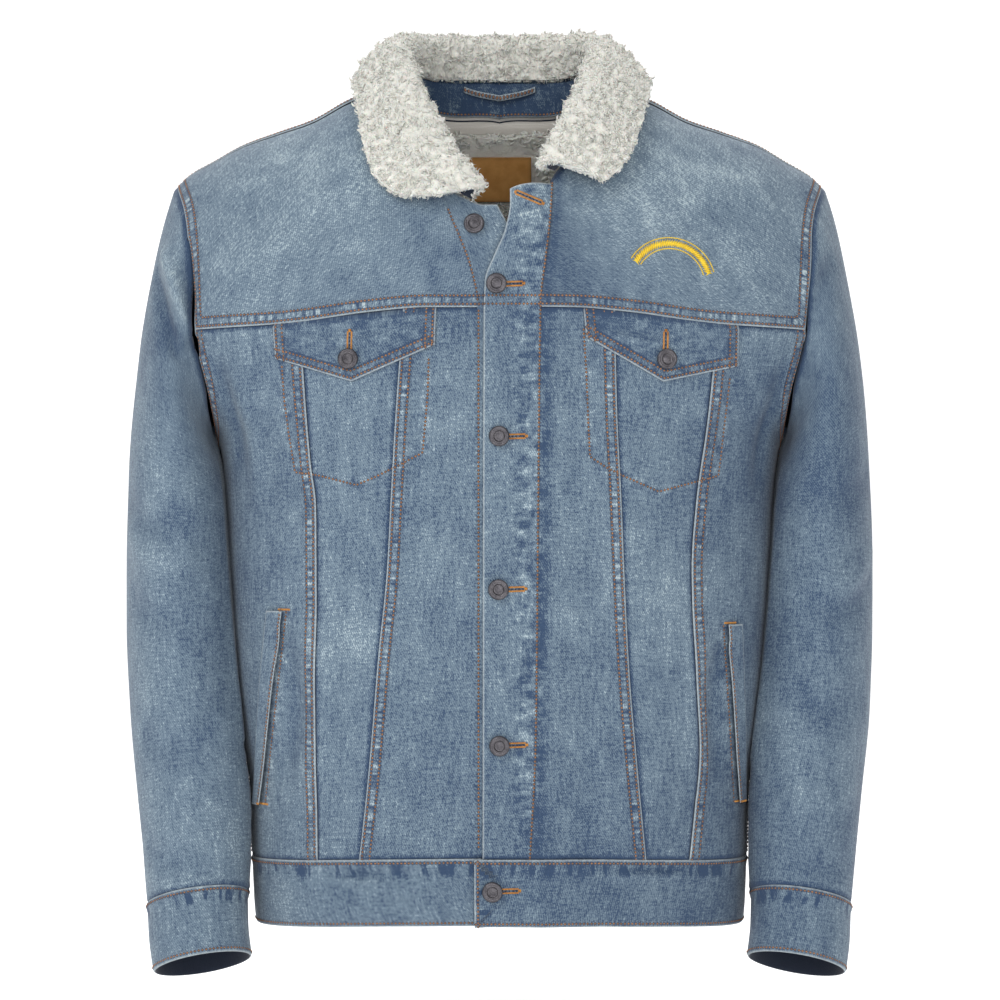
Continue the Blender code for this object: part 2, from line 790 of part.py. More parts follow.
def ring_form(table, angle_start, angle_end, join_armhole):
    """A sleeve form: across runs round the ring, up from the last ring to the first."""
    steps = np.arange(len(table), dtype=float)
    curves = []
    for index in range(7):
        rows = [(step, row[index]) for step, row in zip(steps, table)]
        curves.append(smooth(rows))

    def ring(step, angle):
        outer_x, outer_z, inner_x, inner_z, middle_y, depth, rise = (c(step) for c in curves)
        middle_x, middle_z = (outer_x + inner_x) / 2, (outer_z + inner_z) / 2
        cosine, sine = np.cos(angle), np.sin(angle)
        x = middle_x + cosine * (outer_x - inner_x) / 2
        z = middle_z + cosine * (outer_z - inner_z) / 2 + sine * rise
        y = middle_y - np.sign(sine) * np.abs(sine) ** 0.92 * depth
        return np.stack([x, y, z], axis=-1)

    def place(across, up):
        angle = mix(angle_start, angle_end, across)
        step = mix(steps[-1], 0.0, up)
        point = ring(step, angle)
        if join_armhole:
            fade = np.clip(1 - step / 4, 0, 1) ** 2
            miss = armhole_point(angle) + np.array([0.0022, 0, 0]) - ring(0 * step, angle)
            point = point + miss * fade[..., None]
        level_z = np.minimum(point[..., 2], ARMPIT_Z - 0.002)
        y = point[..., 1]
        deep = np.where(y < 0, front_depth(level_z), back_depth(level_z))
        inside = np.maximum(1 - np.clip(np.abs(y) / deep, 0, 1) ** SQUARENESS, 0)
        side = half_width(level_z) * inside ** (1 / SQUARENESS) + BODY_CLEARANCE
        near = point[..., 2] < ARMPIT_Z + 0.03
        point[..., 0] = np.where(near, np.maximum(point[..., 0], side), point[..., 0])
        return point

    return place


def mirrored(place):
    """The same form on the wearer's right side."""
    flip = np.array([-1.0, 1.0, 1.0])
    return lambda across, up: place(1 - across, up) * flip


def sleeves():
    """Two-piece sleeves and their cuffs."""
    gap = math.radians(0.8)
    back, front = SLEEVE_BACK_SEAM, SLEEVE_FRONT_SEAM
    upper = ring_form(SLEEVE, front - gap, back + gap, True)
    under = ring_form(SLEEVE, back + 2 * math.pi - 2 * gap, front + gap, True)
    cuff = ring_form(CUFF, math.pi, -math.pi, False)
    for side, turn in (("left", lambda form: form), ("right", mirrored)):
        cloth(f"sleeve_upper_{side}", turn(upper), shares(13), shares(11), DENIM, "denim")
        cloth(f"sleeve_under_{side}", turn(under), shares(5), shares(11), DENIM, "denim")
        cloth(f"cuff_{side}", turn(cuff), shares(18), shares(2), BAND, "denim", closed=True)


# ---------------------------------------------------------------- collar
def neckline(share):
    """The neckline from the right front end (-1) round the back (0) to the left (1)."""
    sign = np.where(share < 0, -1.0, 1.0)
    away = np.abs(share)
    back_share = 1 - np.clip(away / 0.5, 0, 1)
    front_share = np.clip((away - 0.5) / 0.5, 0, 1)
    x_back = smooth(BACK_NECK, 1)(back_share)
    roll_back = smooth(BACK_NECK, 2)(back_share)
    x_left = smooth(FRONT_NECK_LEFT, 1)(front_share)
    z_left = smooth(FRONT_NECK_LEFT, 2)(front_share)
    x_right = smooth(FRONT_NECK_RIGHT, 1)(front_share)
    z_right = smooth(FRONT_NECK_RIGHT, 2)(front_share)
    x_front = np.where(sign > 0, x_left, x_right)
    z_front = np.where(sign > 0, z_left, z_right)
    at_back = on_roll(sign * x_back, roll_back)
    at_front = on_roll(sign * x_front, -roll_of(x_front, z_front))
    return np.where((away < 0.5)[..., None], at_back, at_front)


def unit(vectors):
    return vectors / np.maximum(np.linalg.norm(vectors, axis=-1, keepdims=True), 1e-9)


def through(knots, spots, share):
    """A smooth curve through points that are arrays themselves, at shares."""
    tangents = []
    last = len(knots) - 1
    for i in range(last + 1):
        low, high = max(i - 1, 0), min(i + 1, last)
        tangents.append((knots[high] - knots[low]) / (spots[high] - spots[low]))
    result = np.zeros(np.broadcast(knots[0], share[..., None]).shape)
    for i in range(last):
        span = spots[i + 1] - spots[i]
        t = ((share - spots[i]) / span)[..., None]
        here = (share >= spots[i]) & ((share < spots[i + 1]) | (i == last - 1))
        value = (
            knots[i] * (2 * t**3 - 3 * t**2 + 1)
            + tangents[i] * span * (t**3 - 2 * t**2 + t)
            + knots[i + 1] * (3 * t**2 - 2 * t**3)
            + tangents[i + 1] * span * (t**3 - t**2)
        )
        result = np.where(here[..., None], value, result)
    return result


def collar_form():
    """The folded collar: across runs along the neckline from the right end, up from the
    neckline over the fold to the free edge. Its outward side is the sherpa side."""
    roll_line = [smooth(COLLAR_ROLL, index) for index in (1, 2, 3)]
    edge_x = smooth(COLLAR_EDGE, 1)
    edge_roll = smooth(COLLAR_EDGE, 2)
    rise = np.array([0.0, 0.0, 1.0])

    def place(across, up):
        share = mix(-1.0, 1.0, across)
        fold = np.stack([curve(share) for curve in roll_line], axis=-1)
        ahead = np.stack([curve(share + 0.02) for curve in roll_line], axis=-1)
        behind = np.stack([curve(share - 0.02) for curve in roll_line], axis=-1)
        edge = moved_out(on_roll, edge_x(share), edge_roll(share), LEAF_LIFT)
        down = unit(edge - fold)
        out = unit(np.cross(ahead - behind, down))
        left_end = np.clip((share - 0.7) / 0.3, 0, 1)[..., None]
        end = np.clip((np.abs(share) - 0.8) / 0.2, 0, 1)[..., None]
        foot = neckline(share) + rise * (COLLAR_FOOT + 0.003 * left_end)
        bends = [
            fold - ROLL_RADIUS * (out * math.cos(bend) + down * math.sin(bend))
            for bend in np.linspace(0, math.pi, 5)
        ]
        stand = mix(foot, bends[0], 0.55)
        leaf = mix(bends[-1], edge, 0.5) + out * 0.003 - rise * 0.003 * end
        knots = [foot, stand, *bends, leaf, edge]
        spots = np.array([0.0, 0.22, *np.linspace(0.40, 0.49, 5), 0.75, 1.0])
        return through(knots, spots, np.clip(up, 0, 1) + 0 * share)

    return place


def collar():
    """Sherpa collar, the denim under it, and the denim band inside the back neck."""
    form = collar_form()

    def start_of_pile(across):
        """The band takes the foot of the collar at the back and runs out at the sides."""
        away = np.abs(2 * across - 1)
        near = np.clip((0.63 - away) / 0.20, 0, 1)
        return BAND_SHARE * near * near * (3 - 2 * near)

    def pile(across, up):
        stand = mix(start_of_pile(across) + 0.012, 0.40, up / 0.40)
        return form(across, np.where(up < 0.40, stand, up))

    def band(across, up):
        wide = mix(5 / 24, 19 / 24, across)
        return form(wide, mix(0.0, start_of_pile(wide) - 0.008, up))

    bend = np.linspace(0.40, 0.49, 5)
    rows = np.array([0, 0.105, 0.21, 0.33, *bend, 0.60, 0.78, 1.0])
    lie = DENIM + COLLAR_GAP
    columns = shares(24)
    cloth("collar", pile, columns, rows, COLLAR_PILE, "sherpa", lie + COLLAR_PILE, even=False)
    cloth("collar_under", form, columns, rows, DENIM, "denim", DENIM, even=False)
    cloth("neck_band", band, shares(14), shares(2), DENIM, "denim", lie + DENIM)

    def loop(across, up):
        """The hanger loop hangs in a bow from the top of the band."""
        share = mix(-LOOP_HALF_SHARE, LOOP_HALF_SHARE, across)
        sag = 0.050 * (1 - (share / LOOP_HALF_SHARE) ** 2)
        return form((share + 1) / 2, 0.150 - sag + 0.035 * up)

    def loop_out(across, up):
        return lie + DENIM + LAY_GAP + 0.0016 + 0.003 * np.sin(np.pi * across)

    cloth("hanger_loop", loop, shares(8), shares(1), 0.0016, "tape", loop_out)


# ---------------------------------------------------------------- lining and trims
def lining():
    """The back of the sherpa lining, from the neck tape to the waistband, in an upper
    and a lower piece, with the tape and the label at the neck."""
    arm = 0.45
    top_roll = 0.02
    low_roll = float(roll_of(LINING_SIDE_X, LINING_SEAM_Z + SEAM_GAP))
    excess = float(armhole_at(np.array(low_roll))) - 0.010 - LINING_SIDE_X

    def outline(f):
        climb = np.clip(f / arm, 0, 1)
        roll_arm = mix(top_roll, low_roll, climb)
        x_arm = armhole_at(roll_arm) - 0.010 - excess * climb
        x_seam = mix(LINING_SIDE_X, 0.0, np.clip((f - arm) / (1 - arm), 0, 1))
        x = np.where(f <= arm, x_arm, x_seam)
        return x, np.where(f <= arm, roll_arm, roll_of(x, LINING_SEAM_Z + SEAM_GAP))

    columns = np.concatenate([np.linspace(0, arm, 7), np.linspace(arm, 1, 6)[1:]])
    depth = -(DENIM + LINING_GAP)
    name = "lining_back_upper"
    ray_piece(name, outline, 0.0090, columns, shares(6), PILE, "sherpa", depth)

    def turn_at(z):
        return turn_of(np.minimum(half_width(z) * 0.93, LINING_SIDE_X), z)

    place = strip_form(
        lambda z: math.pi - turn_at(z),
        lambda z: math.pi + turn_at(z),
        level(LINING_HEM_Z),
        level(LINING_SEAM_Z - SEAM_GAP),
    )
    cloth("lining_back_lower", place, shares(14), shares(6), PILE, "sherpa", depth)

    neck_x = smooth(BACK_NECK, 1)
    neck_roll = smooth(BACK_NECK, 2)

    def tape(across, up):
        share = mix(-1.0, 1.0, across)
        f = 1 - 0.62 * np.abs(share)
        roll = neck_roll(f) + mix(0.052, 0.008, up)
        return on_roll(-np.sign(share) * neck_x(f), roll)

    cloth("neck_tape", tape, shares(10), shares(1), 0.0012, "tape", -DENIM - LAY_GAP)

    def label(across, up):
        z = mix(LABEL_BOTTOM_Z, LABEL_TOP_Z, up)
        x = mix(LABEL_HALF_WIDTH, -LABEL_HALF_WIDTH, across)
        return on_roll(x, roll_of(x, z))

    cloth("neck_label", label, shares(3), shares(2), 0.0014, "leather", depth - PILE - 0.0030)


def flaps():
    """Pointed flaps of the two chest pockets."""
    for side, corners in (("left", FLAP_LEFT), ("right", FLAP_RIGHT)):
        top_inner, top_outer, low_outer, point, low_inner = corners
        start, end = (low_inner, low_outer) if side == "left" else (low_outer, low_inner)
        spots = np.array([start[0], point[0], end[0]])
        lows = np.array([start[1], point[1], end[1]])
        tops = sorted((top_inner, top_outer))

        def place(across, up, spots=spots, lows=lows, tops=tops):
            low_x = np.interp(across, (0, 0.5, 1), spots)
            low_z = np.interp(across, (0, 0.5, 1), lows)
            top_x = mix(tops[0][0], tops[1][0], across)
            top_z = mix(tops[0][1], tops[1][1], across)
            return on_form(mix(low_x, top_x, up), mix(low_z, top_z, up))

        out = DENIM + LAY_GAP
        cloth(f"flap_{side}", place, shares(6), shares(2), DENIM, "denim", out)


def welts():
    """Slanted welts of the two side pockets, lying on the side panels."""
    for side, line in (("left", WELT_LEFT), ("right", WELT_RIGHT)):
        (top_x, top_z), (low_x, low_z) = line
        sign = 1 if side == "left" else -1

        def place(across, up, sign=sign, top_x=top_x, top_z=top_z, low_x=low_x, low_z=low_z):
            z = mix(low_z, top_z, up)
            turn = turn_of(mix(low_x, top_x, up), z)
            wide = WELT_WIDTH / 0.075 * np.where(sign > 0, across, across - 1)
            return on_turn(turn + wide, z)

        cloth(f"welt_{side}", place, shares(1), shares(8), DENIM, "denim", DENIM + WELT_GAP)


def button(name, x, z, layer):
    """A domed tack button with a sunk centre, turned round its own axis."""
    edge = BUTTON_RADIUS
    profile = (
        (0.0000, 0.0032),
        (0.0032, 0.0032),
        (0.0044, BUTTON_HEIGHT),
        (0.0066, BUTTON_HEIGHT),
        (edge, 0.0032),
        (edge, 0.0020),
        (0.0050, 0.0000),
        (0.0000, 0.0000),
    )
    data = bpy.data.meshes.new("button_" + name)
    mesh = bmesh.new()
    verts = [mesh.verts.new((radius, 0, height)) for radius, height in profile]
    for first, second in zip(verts, verts[1:]):
        mesh.edges.new((first, second))
    mesh.to_mesh(data)
    mesh.free()
    piece = add("button_" + name, data, "metal")
    turned = piece.modifiers.new("turned", "SCREW")
    turned.angle = math.radians(360)
    turned.steps = 14
    turned.render_steps = 14
    turned.use_merge_vertices = True
    turned.merge_threshold = 1e-5
    under = on_form(x, z)
    nudge = 1e-3
    run = on_form(x + nudge, z) - on_form(x - nudge, z)
    rise = on_form(x, z + nudge) - on_form(x, z - nudge)
    stand = {
        "under": 0.0,
        "placket": float(lap_lift(x, z)),
        "waist": float(lap_lift(x, -0.7)),
        "flap": DENIM + LAY_GAP,
    }[layer]
    axis = Vector(np.cross(run, rise)).normalized()
    piece.location = Vector(under) + axis * (stand + 0.0007)
    piece.rotation_euler = axis.to_track_quat("Z", "Y").to_euler()


def main():
    for old in list(bpy.data.objects):
        bpy.data.objects.remove(old)
    jacket = bpy.data.collections.new("jacket")
    bpy.context.scene.collection.children.link(jacket)
    left = (upright(LEFT_STITCH), upright(LEFT_INNER_SEAM), upright(LEFT_OUTER_SEAM))
    right = (upright(RIGHT_STITCH), upright(RIGHT_INNER_SEAM), upright(RIGHT_OUTER_SEAM))
    front_panels("left", *left, 1)
    front_panels("right", *right, -1)
    front_yoke("left", FRONT_NECK_LEFT, 1.0, LEFT_STITCH, 1)
    front_yoke("right", FRONT_NECK_RIGHT, 0.735, RIGHT_STITCH, -1)
    placket_left()
    placket_right()
    back_yoke()
    back_panels()
    waistband()
    sleeves()
    collar()
    lining()
    flaps()
    welts()
    for name, x, z, layer in BUTTONS:
        button(name, x, z, layer)


main()
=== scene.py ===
"""Looks of the sherpa lined denim jacket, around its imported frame.

The forms are the part's own: the same tables and functions give every piece its place,
here on a finer grid, with seams, creases, stitching, pile and worn denim added.
Metres, +Z up, the wearer faces -Y.
"""

import math

import bmesh
import bpy
import numpy as np
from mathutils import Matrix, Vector, noise
from mathutils.bvhtree import BVHTree


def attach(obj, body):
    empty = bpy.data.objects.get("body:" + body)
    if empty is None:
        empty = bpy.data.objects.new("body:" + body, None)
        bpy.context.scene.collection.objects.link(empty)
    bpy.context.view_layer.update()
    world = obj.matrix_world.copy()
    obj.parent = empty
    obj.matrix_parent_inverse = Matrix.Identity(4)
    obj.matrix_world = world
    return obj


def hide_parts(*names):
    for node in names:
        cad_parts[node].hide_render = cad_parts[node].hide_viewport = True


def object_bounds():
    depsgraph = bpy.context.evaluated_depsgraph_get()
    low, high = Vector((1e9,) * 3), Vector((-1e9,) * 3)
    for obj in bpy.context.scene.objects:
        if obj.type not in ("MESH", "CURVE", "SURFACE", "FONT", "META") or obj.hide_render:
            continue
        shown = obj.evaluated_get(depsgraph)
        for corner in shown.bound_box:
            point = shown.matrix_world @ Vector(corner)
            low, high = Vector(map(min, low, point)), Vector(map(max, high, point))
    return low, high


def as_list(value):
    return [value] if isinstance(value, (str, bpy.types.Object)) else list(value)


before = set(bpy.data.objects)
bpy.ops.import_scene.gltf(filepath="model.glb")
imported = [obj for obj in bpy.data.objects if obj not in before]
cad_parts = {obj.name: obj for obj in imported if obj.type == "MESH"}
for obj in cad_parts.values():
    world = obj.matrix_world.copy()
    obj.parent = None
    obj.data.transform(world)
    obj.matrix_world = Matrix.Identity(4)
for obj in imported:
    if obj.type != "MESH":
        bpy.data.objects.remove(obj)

CAD_BOX = [list(map(float, corner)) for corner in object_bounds()]
RANDOM = np.random.default_rng(11)
noise.seed_set(3)  # noise_vector follows the clock without it

# ---------------------------------------------------------------- camera
CAMERA_BACK = 3.2  # from the plane through the neck
FRAME_WIDTH = 0.86  # what the picture takes in at that plane
camera = bpy.data.objects.new("camera", bpy.data.cameras.new("camera"))
bpy.context.scene.collection.objects.link(camera)
bpy.context.scene.camera = camera
camera.location = (0.0004, -CAMERA_BACK, -0.353)
camera.rotation_euler = (math.radians(90), 0, 0)
camera.data.sensor_width = 36
camera.data.lens = 36 * CAMERA_BACK / FRAME_WIDTH

# ---------------------------------------------------------------- driving sizes
DENIM = 0.0016  # one wall of heavy denim
BAND = 0.0022  # waistband, cuffs and plackets, two layers of denim pressed together
PILE = 0.0060  # sherpa lining with its pile
COLLAR_PILE = 0.0070  # sherpa of the collar
SEAM_GAP = 0.0004  # between pieces that are sewn edge to edge
PLACKET_GAP = 0.0012  # between a yoke and its placket, a curved seam
LAY_GAP = 0.0009  # between a piece and what it lies on
COLLAR_GAP = 0.0028  # between the sherpa of the collar and the denim under it
LINING_GAP = 0.0055  # between the denim of the back and its lining

HEM_Z = -0.705  # at the centre
WAIST_SEAM_Z = -0.648
SHOULDER_GAP = 0.004  # half the gap at the shoulder seam, as roll
SIDE_DROP = 0.008  # the hem and waist seam hang this much lower at the sides
ARMPIT_Z = -0.300
BACK_YOKE_Z = -0.165
SHOULDER_REACH = 0.200  # height over which the chest and back roll over the shoulder
SQUARENESS = 2.4  # exponent of the trunk's level sections; 2 is an ellipse

# Level sections of the trunk. Above the armpit they run on past the armholes.
# height, half width, depth of the front, depth of the back
TORSO = (
    (-0.72, 0.208, 0.126, 0.12), (-0.69, 0.211, 0.132, 0.125), (-0.664, 0.212, 0.134, 0.127),
    (-0.645, 0.212, 0.137, 0.13), (-0.605, 0.2125, 0.141, 0.13), (-0.55, 0.221, 0.146, 0.131),
    (-0.487, 0.228, 0.148, 0.132), (-0.42, 0.232, 0.151, 0.135), (-0.33, 0.2365, 0.151, 0.139),
    (-0.3, 0.241, 0.15, 0.141), (-0.27, 0.259, 0.149, 0.143), (-0.24, 0.279, 0.147, 0.144),
    (-0.2, 0.3, 0.145, 0.145), (-0.15, 0.312, 0.142, 0.145), (-0.1, 0.318, 0.139, 0.143),
    (0.04, 0.32, 0.135, 0.14),
)

# The ridge of the shoulder seen from the front: distance from the centre, height.
# The first row only makes the ridge level where it crosses the centre.
RIDGE = (
    (-0.04, 0.0285), (0.0, 0.035), (0.04, 0.0285), (0.085, 0.0085), (0.127, -0.008),
    (0.16, -0.027), (0.19, -0.038), (0.22, -0.049), (0.245, -0.063), (0.265, -0.0745),
    (0.2765, -0.0855),
)

# The armhole seam: height, distance from the centre
ARMHOLE = (
    (-0.3, 0.241), (-0.27, 0.244), (-0.211, 0.256), (-0.17, 0.259), (-0.133, 0.2628),
    (-0.11, 0.267), (-0.0855, 0.2765),
)

# The front yoke seam: distance from the centre, height
FRONT_YOKE = (
    (0.0, -0.195), (0.06, -0.195), (0.105, -0.1985), (0.163, -0.206), (0.194, -0.2085),
    (0.26, -0.211),
)

# Shoulder seam, set a little forward of the ridge: distance from the centre, roll
SHOULDER_SEAM = (
    (0.08, -0.31), (0.127, -0.26), (0.2, -0.16), (0.2765, -0.055),
)

# Neckline from the shoulder seam to the centre back: share of the way, x, roll
BACK_NECK = (
    (0.0, 0.088, -0.3), (0.25, 0.088, 0.12), (0.5, 0.0735, 0.5), (0.75, 0.044, 0.686),
    (1.0, 0.0, 0.755),
)

# Neckline from the shoulder seam to the front end: share of the way, x, height.
# The left front leads on to the outer placket, the right front to the under placket.
FRONT_NECK_LEFT = (
    (0.0, 0.088, -0.0025), (0.3, 0.079, -0.032), (0.6, 0.064, -0.062), (0.85, 0.052, -0.079),
    (1.0, 0.046, -0.087),
)
FRONT_NECK_RIGHT = (
    (0.0, 0.088, -0.0025), (0.3, 0.079, -0.035), (0.6, 0.062, -0.069), (0.85, 0.041, -0.097),
    (1.0, 0.023, -0.108),
)

# Vertical lines of the two fronts, as height and signed x. "edge" is a free edge,
# "stitch" the seam that joins a placket to its front.
LEFT_EDGE = (
    (-0.717, -0.014), (-0.2, -0.013), (-0.172, -0.0119), (-0.153, -0.0047), (-0.132, 0.0045),
    (-0.111, 0.0084), (-0.087, 0.008),
)
LEFT_STITCH = (
    (-0.664, 0.0245), (-0.55, 0.03), (-0.356, 0.032), (-0.19, 0.034), (-0.155, 0.038),
    (-0.12, 0.042), (-0.087, 0.044),
)
RIGHT_STITCH = (
    (-0.664, -0.0186), (-0.19, -0.0186), (-0.162, -0.024), (-0.137, -0.033), (-0.1155, -0.042),
    (-0.086, -0.052),
)
RIGHT_EDGE = (
    (-0.664, 0.0262), (-0.2, 0.0262), (-0.16, 0.0205), (-0.135, 0.012), (-0.122, 0.005),
    (-0.098, -0.008),
)

# The two shaped seams of each front, from the pocket flap to the waistband
LEFT_INNER_SEAM = (
    (-0.664, 0.123), (-0.58, 0.1145), (-0.483, 0.1065), (-0.357, 0.1005), (-0.282, 0.097),
    (-0.189, 0.095),
)
LEFT_OUTER_SEAM = (
    (-0.664, 0.157), (-0.56, 0.1655), (-0.5, 0.162), (-0.41, 0.159), (-0.357, 0.1625),
    (-0.292, 0.1715), (-0.195, 0.181),
)
RIGHT_INNER_SEAM = (
    (-0.664, -0.118), (-0.58, -0.1085), (-0.483, -0.1), (-0.414, -0.093), (-0.357, -0.0898),
    (-0.282, -0.0856), (-0.189, -0.079),
)
RIGHT_OUTER_SEAM = (
    (-0.664, -0.151), (-0.524, -0.1515), (-0.414, -0.151), (-0.357, -0.1515), (-0.322, -0.156),
    (-0.284, -0.1595), (-0.195, -0.165),
)

# The two shaped seams of the back, mirrored: height, distance from the centre
BACK_SEAM = (
    (-0.664, 0.09), (-0.45, 0.108), (-0.165, 0.138),
)

# Rings of the sleeve from the armhole to its seam with the cuff. Each ring leans on
# a line from its outer point to its inner point; front_rise lifts its front point.
# outer x, outer z, inner x, inner z, middle y, half depth, front rise
SLEEVE = (
    (0.2765, -0.0855, 0.243, -0.3, 0.002, 0.079, 0.0),
    (0.286, -0.114, 0.2434, -0.3035, 0.003, 0.084, 0.0),
    (0.295, -0.149, 0.243, -0.307, 0.003, 0.088, 0.001),
    (0.3015, -0.182, 0.242, -0.311, 0.002, 0.091, 0.001),
    (0.308, -0.224, 0.239, -0.316, 0.0, 0.093, 0.001),
    (0.3135, -0.276, 0.234, -0.326, -0.002, 0.092, 0.001),
    (0.3175, -0.335, 0.227, -0.35, -0.004, 0.089, 0.001),
    (0.3195, -0.4, 0.221, -0.4, -0.006, 0.085, 0.002),
    (0.319, -0.465, 0.217, -0.46, -0.01, 0.079, 0.005),
    (0.3155, -0.535, 0.212, -0.527, -0.018, 0.072, 0.009),
    (0.308, -0.605, 0.208, -0.594, -0.029, 0.064, 0.012),
    (0.302, -0.655, 0.209, -0.642, -0.038, 0.056, 0.013),
    (0.298, -0.6955, 0.211, -0.6825, -0.044, 0.047, 0.013),
)
# The same for the cuff, from its seam to its open end
CUFF = (
    (0.298, -0.696, 0.2135, -0.683, -0.044, 0.047, 0.013),
    (0.2965, -0.725, 0.2125, -0.711, -0.051, 0.044, 0.013),
    (0.2925, -0.752, 0.209, -0.737, -0.059, 0.042, 0.013),
)
SLEEVE_BACK_SEAM = math.radians(-105)  # round the ring, 0 at the outer side
SLEEVE_FRONT_SEAM = math.radians(176)
BODY_CLEARANCE = 0.0062  # the sleeve lies this far off the side of the body

# The line where the collar folds over: share round the neckline (-1 right end, 0 at
# the centre back, 1 left end), x, y, z
COLLAR_ROLL = (
    (-1.0, -0.022, -0.137, -0.099), (-0.85, -0.042, -0.127, -0.075),
    (-0.7, -0.06, -0.107, -0.046), (-0.55, -0.079, -0.062, -0.003),
    (-0.42, -0.088, -0.01, 0.028), (-0.22, -0.068, 0.072, 0.043), (0.0, 0.0, 0.1, 0.045),
    (0.22, 0.068, 0.072, 0.043), (0.42, 0.088, -0.01, 0.028), (0.55, 0.078, -0.062, -0.003),
    (0.7, 0.065, -0.103, -0.037), (0.85, 0.051, -0.127, -0.062), (1.0, 0.0435, -0.139, -0.079),
)
# The free edge of its leaf, which lies on the torso: share, x, roll
COLLAR_EDGE = (
    (-1.0, -0.078, -1.141), (-0.85, -0.096, -1.03), (-0.7, -0.108, -0.835),
    (-0.55, -0.114, -0.537), (-0.42, -0.116, -0.18), (-0.22, -0.098, 0.52), (0.0, 0.0, 0.86),
    (0.22, 0.098, 0.52), (0.42, 0.12, -0.15), (0.55, 0.119, -0.431), (0.7, 0.111, -0.719),
    (0.85, 0.097, -0.946), (1.0, 0.08, -1.034),
)
ROLL_RADIUS = 0.0040  # of the fold, inside the denim
LEAF_LIFT = 0.0045  # of the leaf's edge off the yokes
COLLAR_FOOT = 0.0030  # the collar starts this far above the neckline
BAND_SHARE = 0.21  # of the collar's width that the denim band inside the back neck takes

# Chest pocket flaps, as signed x and height of the corners: top inner, top outer,
# bottom outer, point, bottom inner
FLAP_LEFT = (
    (0.069, -0.1975), (0.1975, -0.211), (0.197, -0.242), (0.1345, -0.2555), (0.071, -0.219),
)
FLAP_RIGHT = (
    (-0.052, -0.1975), (-0.187, -0.21), (-0.185, -0.236), (-0.1216, -0.2555),
    (-0.0531, -0.2255),
)
# Side pocket welts: signed x of the inner line, height, at the top and the bottom
WELT_LEFT = ((0.1885, -0.4565), (0.1995, -0.6080))
WELT_RIGHT = ((-0.1790, -0.4450), (-0.1995, -0.6100))
WELT_WIDTH = 0.0078
WELT_GAP = 0.0030

# Metal tack buttons: name, signed x, height, the layer that it sits on
BUTTONS = (
    ("neck", -0.0208, -0.1262, "under"), ("yoke", -0.0025, -0.1757, "placket"),
    ("chest", -0.0003, -0.301, "placket"), ("middle", -0.0008, -0.4262, "placket"),
    ("low", 0.0, -0.5542, "placket"), ("waist", -0.0058, -0.6752, "waist"),
    ("pocket_right", -0.1235, -0.237, "flap"), ("pocket_left", 0.1367, -0.237, "flap"),
)

LABEL_HALF_WIDTH = 0.030
LABEL_TOP_Z, LABEL_BOTTOM_Z = -0.041, -0.082
LOOP_HALF_SHARE = 0.095  # half the hanger loop, as a share round the neckline
LINING_HEM_Z = -0.640
LINING_SEAM_Z = -0.290
LINING_SIDE_X = 0.2180


# ---------------------------------------------------------------- curves
def column(table, index):
    return np.array([row[index] for row in table], float)


def smooth(table, index=1):
    """A curve through one column of a table, against its first column, that does not
    overshoot between rows."""
    order = np.argsort(column(table, 0))
    x = column(table, 0)[order]
    y = column(table, index)[order]
    step = np.diff(x)
    slope = np.diff(y) / step
    pair = slope[:-1] * slope[1:]
    total = np.where(pair > 0, slope[:-1] + slope[1:], 1.0)
    lean = np.zeros(len(x))
    lean[1:-1] = np.where(pair > 0, 2 * pair / total, 0.0)
    lean[0] = slope[0]
    lean[-1] = slope[-1]

    def at(q):
        q = np.clip(q, x[0], x[-1])
        i = np.clip(np.searchsorted(x, q) - 1, 0, len(x) - 2)
        h = step[i]
        t = (q - x[i]) / h
        from_start = y[i] * (2 * t**3 - 3 * t**2 + 1) + h * lean[i] * (t**3 - 2 * t**2 + t)
        to_end = y[i + 1] * (3 * t**2 - 2 * t**3) + h * lean[i + 1] * (t**3 - t**2)
        return from_start + to_end

    return at


def mix(a, b, share):
    return a + (b - a) * share


def soft(value):
    """A smooth step from 0 to 1."""
    value = np.clip(value, 0, 1)
    return value * value * (3 - 2 * value)


def unit(vectors):
    return vectors / np.maximum(np.linalg.norm(vectors, axis=-1, keepdims=True), 1e-12)


def walk(line):
    """Distance walked along a line of points, at each of them."""
    return np.concatenate([[0], np.cumsum(np.linalg.norm(np.diff(line, axis=0), axis=1))])


def nearest(spots, line):
    """Distance of spots from a line, and where on it they are nearest: as a count of its
    points and as a length along it."""
    line = np.asarray(line, float)
    step, start = np.diff(line, axis=0), walk(line)
    size = np.maximum(np.sum(step * step, axis=1), 1e-12)
    gap = np.full(spots.shape[:-1], 9.0)
    count, run = np.zeros_like(gap), np.zeros_like(gap)
    for index in range(len(step)):
        t = np.clip(((spots - line[index]) @ step[index]) / size[index], 0, 1)
        there = np.linalg.norm(spots - line[index] - t[..., None] * step[index], axis=-1)
        closer = there < gap
        gap = np.where(closer, there, gap)
        count = np.where(closer, index + t, count)
        run = np.where(closer, start[index] + t * math.sqrt(size[index]), run)
    return gap, count, run


def shares(count):
    return np.linspace(0, 1, count + 1)


def two_spans(middle, first, second):
    """Shares from 0 to 1: a number of lines up to a middle one, and from it to the end."""
    return np.concatenate([np.linspace(0, middle, first), np.linspace(middle, 1, second)[1:]])


def new_piece(name, points, faces):
    """A smooth mesh, linked to the scene."""
    data = bpy.data.meshes.new(name)
    data.from_pydata(points, [], faces)
    data.shade_smooth()
    piece = bpy.data.objects.new(name, data)
    bpy.context.scene.collection.objects.link(piece)
    return piece


# ---------------------------------------------------------------- torso form
half_width = smooth(TORSO, 1)
front_depth = smooth(TORSO, 2)
back_depth = smooth(TORSO, 3)
ridge_z = smooth(RIDGE)
armhole_x = smooth(ARMHOLE)
front_yoke_z = smooth(FRONT_YOKE)
shoulder_seam_roll = smooth(SHOULDER_SEAM)


